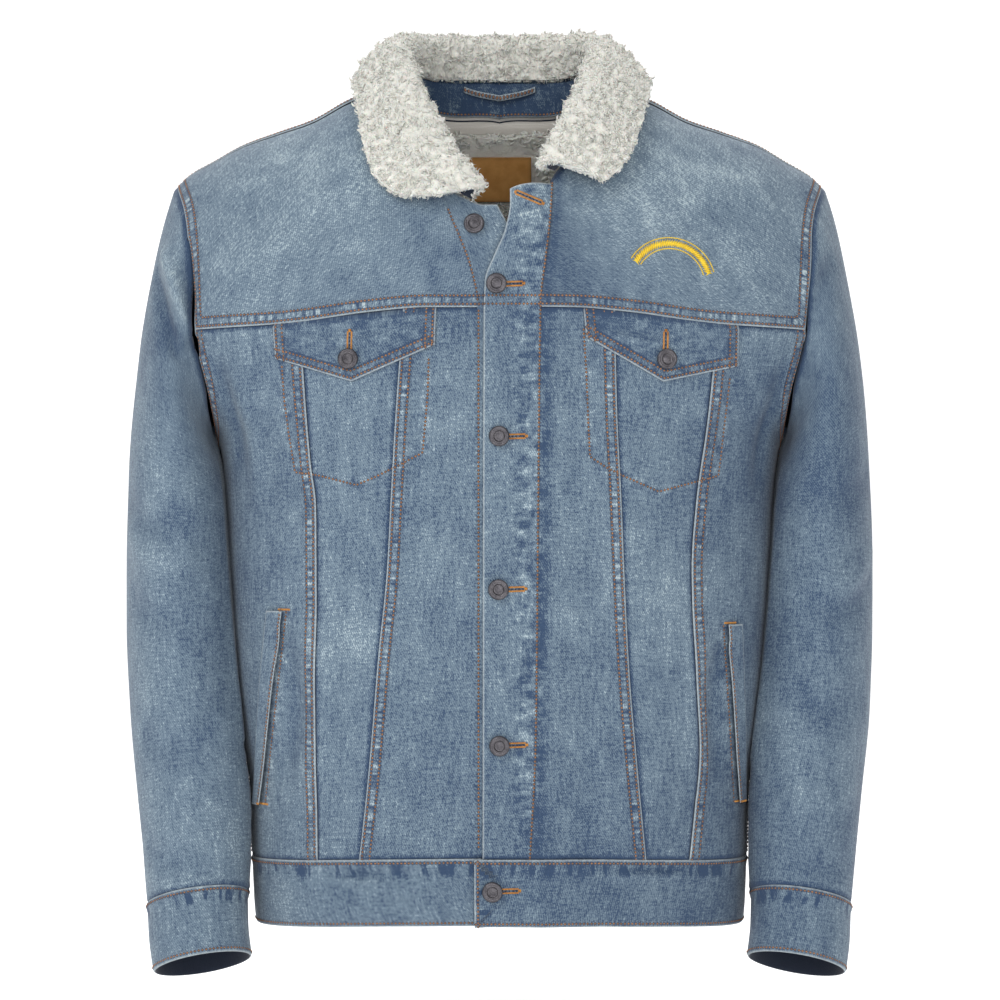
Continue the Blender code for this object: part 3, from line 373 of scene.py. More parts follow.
def roll_of(x, z):
    """How far round from the shoulder ridge a height is, without its sign."""
    down = np.maximum((ridge_z(np.abs(x)) - z) / SHOULDER_REACH, 0.0)
    return np.where(down < 1, np.arccos(np.clip(1 - down, -1, 1)), math.pi / 2 + down - 1)


def height_of(x, roll):
    """The height at a roll, the other way round."""
    q = np.abs(roll)
    down = np.where(q < math.pi / 2, 1 - np.cos(q), 1 + q - math.pi / 2)
    return ridge_z(np.abs(x)) - SHOULDER_REACH * down


def depth_share(x, z):
    """Depth of a level section at x, as a share of its depth at the centre."""
    inside = 1 - np.clip(np.abs(x) / half_width(z), 0, 1) ** SQUARENESS
    return np.maximum(inside, 0.0) ** (1 / SQUARENESS)


def on_roll(x, roll):
    """A point of the torso form from its distance along the shoulders and its roll."""
    z = height_of(x, roll)
    over = np.sin(np.clip(roll, -math.pi / 2, math.pi / 2))
    depth = np.where(roll < 0, front_depth(z), back_depth(z))
    return np.stack([x + 0 * z, depth * depth_share(x, z) * over, z], axis=-1)


def turn_of(x, z):
    """The angle round the trunk of a signed x on the front, 0 at its centre."""
    share = np.clip(np.abs(x) / half_width(z), 0, 1)
    return np.sign(x) * np.arcsin(share ** (SQUARENESS / 2))


def on_turn(turn, z):
    """A point of the torso form from its angle round the trunk, 0 at the centre front
    and 90 degrees at the wearer's left side, and its height."""
    power = 2 / SQUARENESS
    sine, cosine = np.sin(turn), np.cos(turn)
    x = half_width(z) * np.sign(sine) * np.abs(sine) ** power
    over = np.sin(np.minimum(roll_of(x, z), math.pi / 2))
    depth = np.where(cosine > 0, front_depth(z), back_depth(z))
    y = -np.sign(cosine) * np.abs(cosine) ** power * depth * over
    return np.stack([x, y, z + 0 * x], axis=-1)


def side_turn(z):
    """The angle at which a front panel ends: its armhole, or the side seam below it."""
    return np.where(z > ARMPIT_Z, turn_of(armhole_x(z), z), math.pi / 2)


def normals_of(place, across, up, nudge=2e-3):
    """Outward normals of a form."""
    run = place(across + nudge, up) - place(across - nudge, up)
    rise = place(across, up + nudge) - place(across, up - nudge)
    return unit(np.cross(run, rise))


# ---------------------------------------------------------------- cloth, on a fine grid
PITCH = 0.0043  # of the grid, and of the pieces that have their own
PITCHES = {
    "back_left": 0.0055, "back_centre": 0.0055, "back_right": 0.0055, "yoke_back": 0.0052,
    "sleeve_under_left": 0.005, "sleeve_under_right": 0.005, "lining_back_upper": 0.0064,
    "lining_back_lower": 0.009, "collar": 0.0024, "collar_under": 0.008, "hanger_loop": 0.0015,
    "neck_tape": 0.003, "neck_label": 0.0025, "neck_band": 0.003, "flap_left": 0.0026,
    "flap_right": 0.0026, "welt_left": 0.0022, "welt_right": 0.0022, "placket_left": 0.0028,
    "cuff_left": 0.003, "cuff_right": 0.003, "waistband": 0.0034, "sleeve_upper_left": 0.0058,
    "sleeve_upper_right": 0.0058,
}
NEAR_EDGE = 0.045  # past this the distance along the grid will do
EDGE_LINES = (0.0007, 0.0022)  # extra grid lines beside each edge
FELL = 0.0110  # width of a felled seam, with its two rows of stitches
FELL_LIFT = 0.0009  # its extra layers of denim

# What each edge of a piece is, in the order across 0, across 1, up 0, up 1:
# o felled, over its neighbour, with two rows of stitches; t turned, with one row; f folded
# and free; u runs under its neighbour, with painted shade and streaks of wear beside it;
# h the same without them; . plain
EDGES = {
    "front_inner_left": "houu", "front_centre_left": "uuuu", "front_side_left": "oouu",
    "front_inner_right": "ohuu", "front_centre_right": "uuuu", "front_side_right": "oouu",
    "yoke_front_left": "huou", "yoke_front_right": "uhou", "yoke_back": "ooou",
    "placket_left": "f.uf", "placket_right": ".fuf", "back_left": "ouuu", "back_centre": "oouu",
    "back_right": "uouu", "waistband": "ttft", "cuff_left": "..ft", "cuff_right": "..ft",
    "sleeve_upper_left": "uouu", "sleeve_upper_right": "ouuu", "sleeve_under_left": "uuuu",
    "sleeve_under_right": "uuuu", "collar_under": "ffff", "neck_band": "..t.",
    "flap_left": "fffu", "flap_right": "fffu", "welt_left": "ffff", "welt_right": "ffff",
    "hanger_loop": "ffff", "neck_tape": "..ff", "neck_label": "ffff",
}
SHEETS = {}  # piece name: its fine grid, for stitches and pile


def fine_shares(points, coarse, pitch, axis, closed):
    """Shares at about one pitch, through the coarse ones, with lines beside the edges."""
    length = np.linalg.norm(np.diff(points, axis=axis), axis=-1).max(axis=1 - axis)
    lines = [np.array([coarse[0]])]
    for start, end, run in zip(coarse, coarse[1:], length):
        lines.append(np.linspace(start, end, max(1, math.ceil(run / pitch)) + 1)[1:])
    if not closed:
        for step in EDGE_LINES:
            lines.append(np.array([coarse[0] + (coarse[1] - coarse[0]) * step / length[0]]))
            lines.append(np.array([coarse[-1] - (coarse[-1] - coarse[-2]) * step / length[-1]]))
    every = np.sort(np.concatenate(lines))
    keep = np.concatenate([[True], np.diff(every) > 1e-6])
    return every[keep]


def walked(points, axis):
    """Distance walked along the grid from its first line."""
    step = np.linalg.norm(np.diff(points, axis=axis), axis=-1)
    zero = np.zeros_like(step.take([0], axis=axis))
    return np.concatenate([zero, np.cumsum(step, axis=axis)], axis=axis)


def cloth(name, place, columns, rows, wall, material, out=0.0, closed=False):
    """A closed wall of cloth on a form, as in the part, on a fine grid. Its edges are
    rounded, felled seams stand proud, and creases move it along its normal."""
    pitch = PITCHES.get(name, PITCH)
    across, up = np.meshgrid(columns, rows, indexing="ij")
    rough = place(across, up)
    columns = fine_shares(rough, np.asarray(columns, float), pitch, 0, closed)
    rows = fine_shares(rough, np.asarray(rows, float), pitch, 1, False)
    across, up = np.meshgrid(columns, rows, indexing="ij")
    lift = out(across, up) if callable(out) else out + 0 * across
    base = place(across, up)
    normal = normals_of(place, across, up)
    base = base + normal * lift[..., None]
    over, rise = walked(base, 0), walked(base, 1)
    away = np.stack([over, over[-1:] - over, rise, rise[:, -1:] - rise])
    kinds = EDGES.get(name, "....")
    runs = [rise.copy(), rise.copy(), over.copy(), over.copy()]
    borders = (base[0], base[-1], base[:, 0], base[:, -1])
    for index, (kind, border) in enumerate(zip(kinds, borders)):
        if kind not in ".h":
            near = away[index] < NEAR_EDGE
            away[index][near], _, runs[index][near] = nearest(base[near], border)
    proud = np.zeros_like(over)
    rounding = np.zeros_like(over)
    for gap, kind in zip(away, kinds):
        if kind in "ot":
            wide = FELL if kind == "o" else 0.006
            proud = np.maximum(proud, FELL_LIFT * soft((wide + 0.0015 - gap) / 0.0025))
        if kind in "otf":
            rounding = np.maximum(rounding, 0.48 * np.clip(1 - gap / 0.0016, 0, 1) ** 1.6)
        if kind == "u":
            rounding = np.maximum(rounding, 0.55 * np.clip(1 - gap / 0.0024, 0, 1) ** 1.2)
    move = proud + relief(name, base)
    outer = base + normal * (move - rounding * wall)[..., None]
    inner = base + normal * (move - wall + 0.35 * rounding * wall)[..., None]
    if closed:
        outer[-1], inner[-1] = outer[0], inner[0]
    else:
        tuck_edges(kinds, outer, inner, normal, wall)
    SHEETS[name] = {
        "outer": outer, "inner": inner, "normal": normal, "away": away, "kinds": kinds,
        "runs": runs, "over": over, "rise": rise, "closed": closed, "material": material,
    }
    shell(name, SHEETS[name])


TUCK = 0.0045  # how far an edge runs on under its neighbour
TUCK_DEPTH = 0.0021  # and how far below its own face


def tuck_edges(kinds, outer, inner, normal, wall):
    """An edge that runs under its neighbour is carried on below it, so that no light
    comes through the seam: its first grid line moves there and the second one makes
    the edge."""
    ends = ((0, 0, 1, 2), (0, -1, -2, -3), (1, 0, 1, 2), (1, -1, -2, -3))
    for kind, (axis, last, second, third) in zip(kinds, ends):
        if kind not in "uh":
            continue
        a, b, n = (np.moveaxis(g, axis, 0) for g in (outer, inner, normal))
        out = unit(a[last] - a[third])
        a[second] = a[last]
        b[second] = b[last]
        a[last] = a[second] + out * TUCK - n[last] * (TUCK_DEPTH - 0.55 * wall)
        b[last] = b[second] + out * TUCK - n[last] * (TUCK_DEPTH - 0.55 * wall - 0.0004)


def grid_faces(columns, rows, closed):
    """Quads over a grid of points, as indices into it."""
    i, j = np.meshgrid(np.arange(columns - 1), np.arange(rows - 1), indexing="ij")
    a = i * rows + j
    b = (i + 1) * rows + j
    if closed:
        b = np.where(i == columns - 2, j, b)
    return np.stack([a, b, b + 1, a + 1], axis=-1).reshape(-1, 4)


def shell(name, grid):
    """The closed skin of a sheet, as the object that replaces the node of its name."""
    outer, inner = grid["outer"], grid["inner"]
    columns, rows = outer.shape[:2]
    closed = grid["closed"]
    kept = columns - 1 if closed else columns
    count = kept * rows
    points = np.concatenate([outer[:kept].reshape(-1, 3), inner[:kept].reshape(-1, 3)])
    faces = grid_faces(columns, rows, closed)
    all_faces = [faces, faces[:, ::-1] + count]
    low, high = np.arange(kept) * rows, np.arange(kept) * rows + rows - 1
    if closed:
        loops = [(np.append(low, low[0]), True), (np.append(high, high[0]), False)]
    else:
        ends = np.arange(rows), (columns - 1) * rows + np.arange(rows)
        loops = [(low, True), (high, False), (ends[0], False), (ends[1], True)]
    for line, forward in loops:
        first, second = (line[1:], line[:-1]) if forward else (line[:-1], line[1:])
        all_faces.append(np.stack([first, second, second + count, first + count], axis=-1))
    piece = new_piece(name + "_look", points.tolist(), np.concatenate(all_faces).tolist())
    piece.data.validate()
    write_marks(name, piece.data, grid, kept)
    piece.data.update()
    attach(piece, "root")
    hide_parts(name)


def write_marks(name, data, grid, kept):
    """Cloth coordinates in metres, and what the denim's wear and its painted shade are worked out
    from.
    """
    over, rise = grid["over"], grid["rise"]
    middle = over.shape[0] // 2
    offset = (sum(map(ord, name)) % 17) * 0.37
    u = over - over[middle : middle + 1] + offset
    v = rise[middle : middle + 1] + 0 * over
    away, kinds = grid["away"], grid["kinds"]
    rim, band, painted_seam_shade, pucker = np.zeros((4, *over.shape))
    for gap, kind in zip(away, kinds):
        if kind in "otf":
            rim = np.maximum(rim, np.clip(1 - gap / 0.0030, 0, 1))
        if kind == "o":
            band = np.maximum(band, soft((FELL + 0.003 - gap) / 0.003) * soft(gap / 0.0015))
            pucker = np.maximum(pucker, 0.16 * np.exp(-np.maximum(gap - FELL, 0) / 0.008))
        if kind == "t":
            pucker = np.maximum(pucker, 0.7 * np.exp(-np.maximum(gap - 0.004, 0) / 0.009))
        if kind == "f":
            band = np.maximum(band, 0.7 * soft((0.009 - gap) / 0.003) * soft(gap / 0.002))
        # an edge under its neighbour: painted shade on the cloth beside it, and streaks of wear
        if kind == "u":
            painted_seam_shade = np.maximum(painted_seam_shade, np.clip(1 - gap / 0.0035, 0, 1))
            pucker = np.maximum(pucker, 0.22 * np.exp(-gap / 0.010))
    used = [k for k in range(4) if kinds[k] not in ".h"] or [0]
    gaps = np.stack([away[k] for k in used])
    first = gaps.argmin(axis=0)
    gap = gaps.min(axis=0)
    run = np.take_along_axis(np.stack([grid["runs"][k] for k in used]), first[None], 0)[0]
    run = run + 0.61 * first
    rows = "of" if name.startswith("flap") else "o"
    row = np.isin(first, [i for i, k in enumerate(used) if kinds[k] in rows]).astype(float)
    hem = np.isin(first, [i for i, k in enumerate(used) if kinds[k] == "t"]).astype(float)
    wash_and_shade, mark = wash_and_shade_at(name, grid)
    # the painted shade along the flap's top, under the yoke's edge, is half as dark
    if name.startswith("flap"):
        painted_seam_shade = painted_seam_shade * 0.5
    layers = {"rim": rim, "band": band, "painted_seam_shade": painted_seam_shade, "pucker": pucker,
              "wash_and_shade": wash_and_shade, "mark": mark, "row": row, "hem": hem}

    def write(key, kind, field, outside, inside):
        values = np.concatenate([outside[:kept], inside[:kept]]).astype(np.float32)
        data.attributes.new(key, kind, "POINT").data.foreach_set(field, values.ravel())

    for key, values in layers.items():
        write(key, "FLOAT", "value", values, values)
    write("inside", "FLOAT", "value", 0 * over, 1 + 0 * over)
    seam = np.stack([run, gap, 0 * run], axis=-1)
    write("seam", "FLOAT_VECTOR", "vector", seam, seam)
    flat = np.concatenate([np.stack([u, v], axis=-1)[:kept].reshape(-1, 2)] * 2)
    corner = np.empty(len(data.loops), dtype=np.int32)
    data.loops.foreach_get("vertex_index", corner)
    uv = data.uv_layers.new(name="cloth")
    uv.data.foreach_set("uv", flat[corner].astype(np.float32).ravel())


# ---------------------------------------------------------------- creases
def crease_point(side, a, b):
    """A point on the form: front or back by x and height, or a sleeve by its angle in
    degrees and height. The wearer's right sleeve is the left one mirrored."""
    if side == "front":
        return on_form(a, b)
    if side == "back":
        return on_roll(np.float64(a), roll_of(np.float64(a), np.float64(b)))
    sign = 1.0 if side == "left" else -1.0
    form = ring_form(SLEEVE, 0.0, 2 * math.pi, True)
    share = np.array([(a / 360.0) % 1.0])
    low, high = np.array([0.0]), np.array([1.0])
    for _ in range(24):
        middle = (low + high) / 2
        over = form(share, middle)[..., 2] < b
        low, high = np.where(over, middle, low), np.where(over, high, middle)
    return form(share, middle)[0] * np.array([sign, 1, 1])


# By side: three points along it, half width, height (below zero is a trough). Sleeve
# angles run from 0 at the outer side over 90 at the front to 180 at the body.
CREASES = {
    "right": (
        ((166, -0.25), (164, -0.4), (160, -0.56), 0.015, 0.006),
        ((34, -0.14), (66, -0.172), (104, -0.214), 0.0062, 0.0062),
        ((26, -0.16), (58, -0.194), (96, -0.236), 0.0075, -0.0056),
        ((56, -0.118), (84, -0.146), (112, -0.186), 0.0075, -0.004),
        ((20, -0.345), (62, -0.372), (100, -0.356), 0.012, -0.0026),
        ((24, -0.374), (66, -0.402), (108, -0.392), 0.0125, 0.0024),
        ((30, -0.43), (70, -0.452), (118, -0.43), 0.013, -0.0026),
        ((40, -0.545), (80, -0.56), (120, -0.535), 0.013, -0.0022),
        ((30, -0.64), (72, -0.655), (115, -0.64), 0.011, -0.002),
        ((24, -0.668), (70, -0.676), (110, -0.668), 0.008, 0.0016),
        ((-30, -0.34), (-62, -0.38), (-96, -0.372), 0.013, -0.0032),
        ((-26, -0.395), (-58, -0.428), (-92, -0.43), 0.013, 0.0026),
        ((-30, -0.46), (-66, -0.488), (-100, -0.47), 0.012, -0.003),
        ((-34, -0.6), (-70, -0.62), (-104, -0.604), 0.012, -0.0024),
    ),
    "left": (
        ((166, -0.26), (164, -0.42), (160, -0.58), 0.015, 0.006),
        ((40, -0.15), (72, -0.176), (102, -0.214), 0.0095, -0.0024),
        ((36, -0.128), (72, -0.152), (106, -0.19), 0.0095, 0.0022),
        ((25, -0.33), (70, -0.352), (112, -0.338), 0.013, -0.0024),
        ((20, -0.388), (60, -0.42), (104, -0.41), 0.0135, 0.0022),
        ((26, -0.42), (66, -0.446), (110, -0.436), 0.012, -0.0026),
        ((36, -0.505), (76, -0.53), (116, -0.508), 0.013, -0.0024),
        ((30, -0.59), (74, -0.606), (112, -0.59), 0.012, 0.0018),
        ((28, -0.655), (74, -0.664), (114, -0.65), 0.009, -0.0022),
        ((-28, -0.35), (-60, -0.372), (-98, -0.352), 0.012, -0.003),
        ((-34, -0.404), (-66, -0.44), (-100, -0.434), 0.014, -0.0032),
        ((-28, -0.44), (-60, -0.474), (-94, -0.48), 0.012, 0.0026),
        ((-30, -0.57), (-68, -0.598), (-102, -0.58), 0.013, -0.0026),
    ),
    "front": (
        ((-0.205, -0.666), (-0.12, -0.669), (-0.03, -0.6665), 0.003, 0.0022),
        ((-0.19, -0.6605), (-0.11, -0.6635), (-0.04, -0.66), 0.003, -0.0022),
        ((0.065, -0.66), (0.125, -0.6655), (0.195, -0.663), 0.003, 0.0022),
        ((0.075, -0.656), (0.13, -0.6605), (0.19, -0.658), 0.003, -0.0022),
        ((0.008, -0.108), (0.02, -0.118), (0.032, -0.142), 0.003, -0.0022),
        ((0.03, -0.112), (0.034, -0.13), (0.03, -0.158), 0.0032, 0.0018),
        ((0.012, -0.118), (0.013, -0.14), (0.004, -0.16), 0.0034, 0.002),
        ((-0.165, -0.22), (-0.125, -0.223), (-0.085, -0.216), 0.004, 0.0022),
        ((0.085, -0.216), (0.12, -0.223), (0.16, -0.229), 0.004, 0.0022),
        ((-0.238, -0.232), (-0.226, -0.275), (-0.216, -0.33), 0.01, -0.0026),
        ((0.236, -0.236), (0.226, -0.284), (0.214, -0.345), 0.01, -0.0026),
        ((-0.222, -0.245), (-0.206, -0.3), (-0.202, -0.36), 0.01, 0.0018),
        ((0.19, -0.47), (0.178, -0.52), (0.186, -0.585), 0.012, -0.003),
        ((0.176, -0.452), (0.164, -0.52), (0.17, -0.6), 0.012, 0.0016),
        ((-0.186, -0.462), (-0.17, -0.52), (-0.182, -0.59), 0.012, -0.0028),
        ((-0.168, -0.45), (-0.152, -0.52), (-0.164, -0.604), 0.013, 0.0016),
        ((0.012, -0.301), (0.052, -0.306), (0.09, -0.318), 0.006, -0.0012),
        ((0.014, -0.288), (0.046, -0.284), (0.078, -0.272), 0.0065, 0.001),
        ((0.012, -0.426), (0.048, -0.42), (0.082, -0.408), 0.006, -0.0012),
        ((0.012, -0.438), (0.046, -0.444), (0.076, -0.456), 0.0065, 0.001),
        ((0.012, -0.556), (0.046, -0.56), (0.08, -0.572), 0.006, -0.0012),
        ((0.012, -0.544), (0.042, -0.538), (0.072, -0.528), 0.006, 0.001),
        ((-0.03, -0.308), (-0.055, -0.316), (-0.082, -0.33), 0.007, -0.001),
        ((-0.03, -0.432), (-0.052, -0.44), (-0.08, -0.452), 0.007, -0.001),
        ((-0.03, -0.56), (-0.052, -0.566), (-0.078, -0.58), 0.007, -0.001),
        ((-0.225, -0.1), (-0.18, -0.12), (-0.13, -0.126), 0.016, -0.0014),
        ((0.215, -0.098), (0.172, -0.12), (0.12, -0.128), 0.016, -0.0012),
    ),
    "back": (
        ((0.215, -0.2), (0.19, -0.27), (0.185, -0.35), 0.012, -0.0034),
        ((-0.218, -0.205), (-0.196, -0.262), (-0.186, -0.33), 0.012, -0.0032),
        ((0.17, -0.06), (0.12, -0.09), (0.05, -0.104), 0.015, -0.0022),
        ((-0.176, -0.066), (-0.118, -0.1), (-0.06, -0.106), 0.015, -0.002),
        ((-0.15, -0.47), (-0.06, -0.5), (0.05, -0.49), 0.015, -0.0034),
        ((0.16, -0.53), (0.08, -0.56), (-0.02, -0.556), 0.015, -0.0032),
        ((-0.16, -0.56), (-0.1, -0.586), (-0.04, -0.59), 0.012, 0.0024),
        ((0.15, -0.43), (0.09, -0.446), (0.01, -0.44), 0.014, 0.0024),
    ),
}


def crease_curves():
    """The creases as side, curve, half width and height."""
    steps = np.linspace(0, 1, 13)[:, None]
    for side, rows in CREASES.items():
        for first, second, third, width, height in rows:
            start, middle, end = (
                np.asarray(crease_point(side, *p), float) for p in (first, second, third)
            )
            bend = middle * 2 - (start + end) / 2
            line = (1 - steps) ** 2 * start + 2 * steps * (1 - steps) * bend + steps**2 * end
            yield side, line, width, height


CREASE_HEIGHT = 1.4  # on the heights in the table
WEAR_AND_SHADE = 170  # of the colour for a metre of crease: ridges paler with wear, folds darker as painted shade
SWAY = 0.0011  # how far the lie of the cloth wanders
CREASE_CURVES = []
CREASE_WEAR_AND_SHADE = {}  # piece name: how far its creases move it, for pale worn ridges and painted shade in the folds
CREASED = ("front", "yoke", "placket", "flap", "welt", "back", "sleeve", "waist", "cuff")


def relief(name, points):
    """How far creases and the lie of the cloth move it, from where it is."""
    if not name.startswith(CREASED):
        return sherpa_relief(name, points)
    if not CREASE_CURVES:
        CREASE_CURVES.extend(crease_curves())
    move = np.zeros(points.shape[:2])
    sleeve = name.startswith(("sleeve", "cuff"))
    for side, line, width, height in CREASE_CURVES:
        near_sleeve = side in ("left", "right")
        low, high = line.min(axis=0) - 3 * width, line.max(axis=0) + 3 * width
        inside = np.all((points > low) & (points < high), axis=-1)
        if not inside.any() or (near_sleeve != sleeve and not near_armhole(line)):
            continue
        best, share, _ = nearest(points[inside], line)
        share = share / (len(line) - 1)
        ends = np.sqrt(np.clip(4 * share * (1 - share), 0, 1))
        move[inside] += CREASE_HEIGHT * height * np.exp(-((best / width) ** 2)) * ends
    CREASE_WEAR_AND_SHADE[name] = move.copy()
    flat = points.reshape(-1, 3)
    sway = np.array([noise.noise(Vector(p) * 14.0) for p in flat.tolist()])
    return move + SWAY * sway.reshape(move.shape) * steady(points)


def near_armhole(line):
    return bool(np.any((line[:, 2] > -0.24) & (np.abs(line[:, 0]) < 0.27)))


def steady(points):
    """The lie of the cloth is left alone where the sleeve passes the body."""
    apart = np.abs(np.abs(points[..., 0]) - 0.232)
    return np.where(points[..., 2] < -0.22, soft(apart / 0.03), 1.0)


def sherpa_relief(name, points):
    """Lumps of the pile."""
    if name != "collar":
        return np.zeros(points.shape[:2])

    def lump(p):
        return abs(noise.noise(p * 120.0)) + 0.5 * abs(noise.noise(p * 260.0))

    lumps = np.array([lump(Vector(p)) for p in points.reshape(-1, 3).tolist()])
    return 0.0075 * lumps.reshape(points.shape[:2]) - 0.0048


# ---------------------------------------------------------------- wash, wear and painted shade
# Broad lighter and darker spots: x, height, reach, amount. The dark spots under the arms and on
# the sides next to the sleeves are painted shade.
WASH_AND_SHADE = {
    "front": (
        (-0.15, -0.1, 0.09, 0.95), (0.15, -0.085, 0.09, 1.0), (0.1, -0.14, 0.05, 0.3),
        (-0.04, -0.15, 0.04, -0.45), (0.058, -0.15, 0.03, -0.75), (-0.1, -0.185, 0.055, -0.4),
        (0.1, -0.19, 0.055, -0.4), (-0.225, -0.33, 0.06, -0.45), (0.225, -0.33, 0.06, -0.8),
        (-0.205, -0.48, 0.05, -0.35), (0.205, -0.48, 0.05, -0.45), (0.137, -0.46, 0.06, 0.38),
        (-0.128, -0.48, 0.06, 0.22), (0.13, -0.29, 0.04, -0.15), (0.13, -0.63, 0.06, 0.25),
        (-0.13, -0.63, 0.06, 0.2), (0.06, -0.64, 0.06, -0.3), (-0.06, -0.6, 0.08, -0.2),
        (-0.29, -0.21, 0.06, -0.3), (-0.29, -0.16, 0.04, 0.25), (0.29, -0.3, 0.1, -0.6),
        (0.285, -0.45, 0.06, -0.3), (0.275, -0.62, 0.08, -0.15), (-0.275, -0.62, 0.08, 0.25),
        (-0.29, -0.4, 0.06, 0.1), (0.15, -0.69, 0.12, -0.8),
    ),
    "back": (
        (0.0, -0.33, 0.2, 0.35), (0.29, -0.38, 0.11, 0.2), (-0.29, -0.38, 0.11, 0.2),
    ),
}

# Stitched outlines of the chest pockets on the fronts: signed x, height
POCKET_RIGHT = (
    (-0.1801, -0.2413), (-0.1784, -0.2688), (-0.1747, -0.2988), (-0.1693, -0.33),
    (-0.1504, -0.3325), (-0.1177, -0.3407), (-0.1016, -0.3338), (-0.0842, -0.3252),
    (-0.0631, -0.3141), (-0.0613, -0.2943), (-0.0589, -0.2646), (-0.0581, -0.2361),
)
POCKET_LEFT = (
    (0.069, -0.2115), (0.0713, -0.2488), (0.0729, -0.2909), (0.0743, -0.3174), (0.0874, -0.326),
    (0.0994, -0.3321), (0.1313, -0.3461), (0.1583, -0.339), (0.1817, -0.3329),
    (0.1838, -0.3168), (0.1881, -0.2783), (0.1911, -0.25),
)


def from_line(points, line):
    """Distance from a line of x and heights."""
    return nearest(points[..., [0, 2]], line)[0]


def along(points, line, reach):
    """1 on a line of x and heights, less and less beyond its reach."""
    return np.exp(-((from_line(points, line) / reach) ** 2))


def wash_and_shade_at(name, grid):
    """Broad light and dark of the wash with painted shade among it, and how blotchy the wear is.
    """
    points = grid["outer"]
    wash_and_shade = np.zeros(points.shape[:2])
    mark = np.zeros(points.shape[:2])
    on_front = points[..., 1] < 0.01
    for side, here in (("front", on_front), ("back", ~on_front)):
        for x, z, reach, amount in WASH_AND_SHADE[side]:
            gap = np.hypot(points[..., 0] - x, points[..., 2] - z)
            wash_and_shade += amount * np.exp(-((gap / reach) ** 2)) * here
    # creases: their ridges paler with wear, their folds darker as painted shade
    if name in CREASE_WEAR_AND_SHADE:
        wash_and_shade += np.clip(WEAR_AND_SHADE * CREASE_WEAR_AND_SHADE[name], -0.8, 0.8)
    if name.startswith("front"):
        stitch = [(x, z) for z, x in LEFT_STITCH]
        rubbed = (
            (POCKET_LEFT, 0.7, 0.0055), (POCKET_RIGHT, 0.7, 0.0055), (WELT_LEFT, 0.7, 0.010),
            (WELT_RIGHT, 0.7, 0.010), (stitch, 0.8, 0.009),
        )
        for line, amount, reach in rubbed:
            mark = np.maximum(mark, amount * along(points, line, reach))
    # a dark strip on the front and yoke beside the outer placket's raised edge: painted shade
    if name.startswith(("front_inner_left", "yoke_front_left")):
        placket_shade_line = [(x + 0.004, z) for z, x in LEFT_STITCH]
        wash_and_shade = wash_and_shade - 1.1 * along(points, placket_shade_line, 0.006)
    if name.startswith("placket"):
        mark = np.maximum(mark, 0.9 * soft((points[..., 0] - 0.006) / 0.012))
    if name.startswith("flap"):
        mark = np.maximum(mark, 0.42)
        wash_and_shade = wash_and_shade - 0.60
    if name in ("neck_band", "collar_under"):
        wash_and_shade = wash_and_shade - 1.8
        mark = mark + 0.5
    if name == "hanger_loop":
        wash_and_shade = wash_and_shade + 0.5
        mark = mark + 0.6
    return wash_and_shade, mark


def level(z):
    """A seam at one height."""
    return lambda x: z + 0 * x


def settle(height_at, x_at):
    """The height at which a line of the cloth, x_at(z), meets a seam, height_at(x)."""
    low = np.full_like(x_at(np.zeros(1)), -0.75)
    high = low + 0.80
    for _ in range(40):
        middle = (low + high) / 2
        under = middle < height_at(x_at(middle))
        low = np.where(under, middle, low)
        high = np.where(under, high, middle)
    return middle


def strip_form(start_turn, end_turn, lower, upper):
    """A panel between two upright lines, given as turns at each height, and two seams,
    given as heights at each x."""

    def place(across, up):
        def x_at(z):
            return on_turn(mix(start_turn(z), end_turn(z), across), z)[..., 0]

        bottom = settle(lower, x_at)
        top = settle(upper, x_at)
        z = mix(bottom, top, up)
        return on_turn(mix(start_turn(z), end_turn(z), across), z)

    return place


def upright(table, shift=0.0):
    """The turn of an upright line on the front, from its table of height and x."""
    line = smooth(table)
    return lambda z: turn_of(line(z) + shift, z)


def shifted(turn_at, gap):
    return lambda z: turn_at(z) + gap / 0.2


# ---------------------------------------------------------------- fronts
def waist_z(x):
    """The seam between the panels and the waistband, at each x."""
    return WAIST_SEAM_Z - SIDE_DROP * (x / 0.21) ** 2


def lift_left(x):
    """The left front rises towards its placket, which lies over the right one."""
    return (BAND + LAY_GAP + 0.0004) * soft((0.075 - x) / 0.045)


def lap_lift(x, z):
    """How far the outer placket stands off: flat where buttoned, turned out above."""
    free = np.clip((0.046 - x) / 0.050, 0, 1)
    return BAND + LAY_GAP + 0.0006 + 0.013 * soft((z + 0.180) / 0.095) * free


def front_panels(side, stitch, inner, outer, sign):
    """The three lower panels of a front, from its placket to the side seam."""

    def edge(z):
        return sign * side_turn(z)

    gap = sign * SEAM_GAP / 2
    lines = {
        "inner": (shifted(stitch, 2 * gap), shifted(inner, -gap), 4),
        "centre": (shifted(inner, gap), shifted(outer, -gap), 3),
        "side": (shifted(outer, gap), shifted(edge, -2 * gap), 6),
    }
    for part, (start, end, count) in lines.items():
        if sign < 0:
            start, end = end, start
        place = strip_form(
            start,
            end,
            lambda x: waist_z(x) + SEAM_GAP,
            lambda x: front_yoke_z(np.abs(x)) - SEAM_GAP,
        )
        lift = 0.0
        if side == "left" and part == "inner":

            def lift(across, up, place=place):
                return lift_left(place(across, up)[..., 0])

        cloth(f"front_{part}_{side}", place, shares(count), shares(9), DENIM, "denim", lift)


def on_form(x, z):
    """A point of the front at a signed x and a height, with an array of either."""
    x, z = np.broadcast_arrays(np.asarray(x, float), np.asarray(z, float))
    return on_roll(x, -roll_of(x, z))


def armhole_at(roll):
    """Distance from the centre of the armhole seam at a roll."""
    x = np.full_like(roll, 0.262)
    for _ in range(6):
        x = armhole_x(height_of(x, roll))
    return x - SEAM_GAP


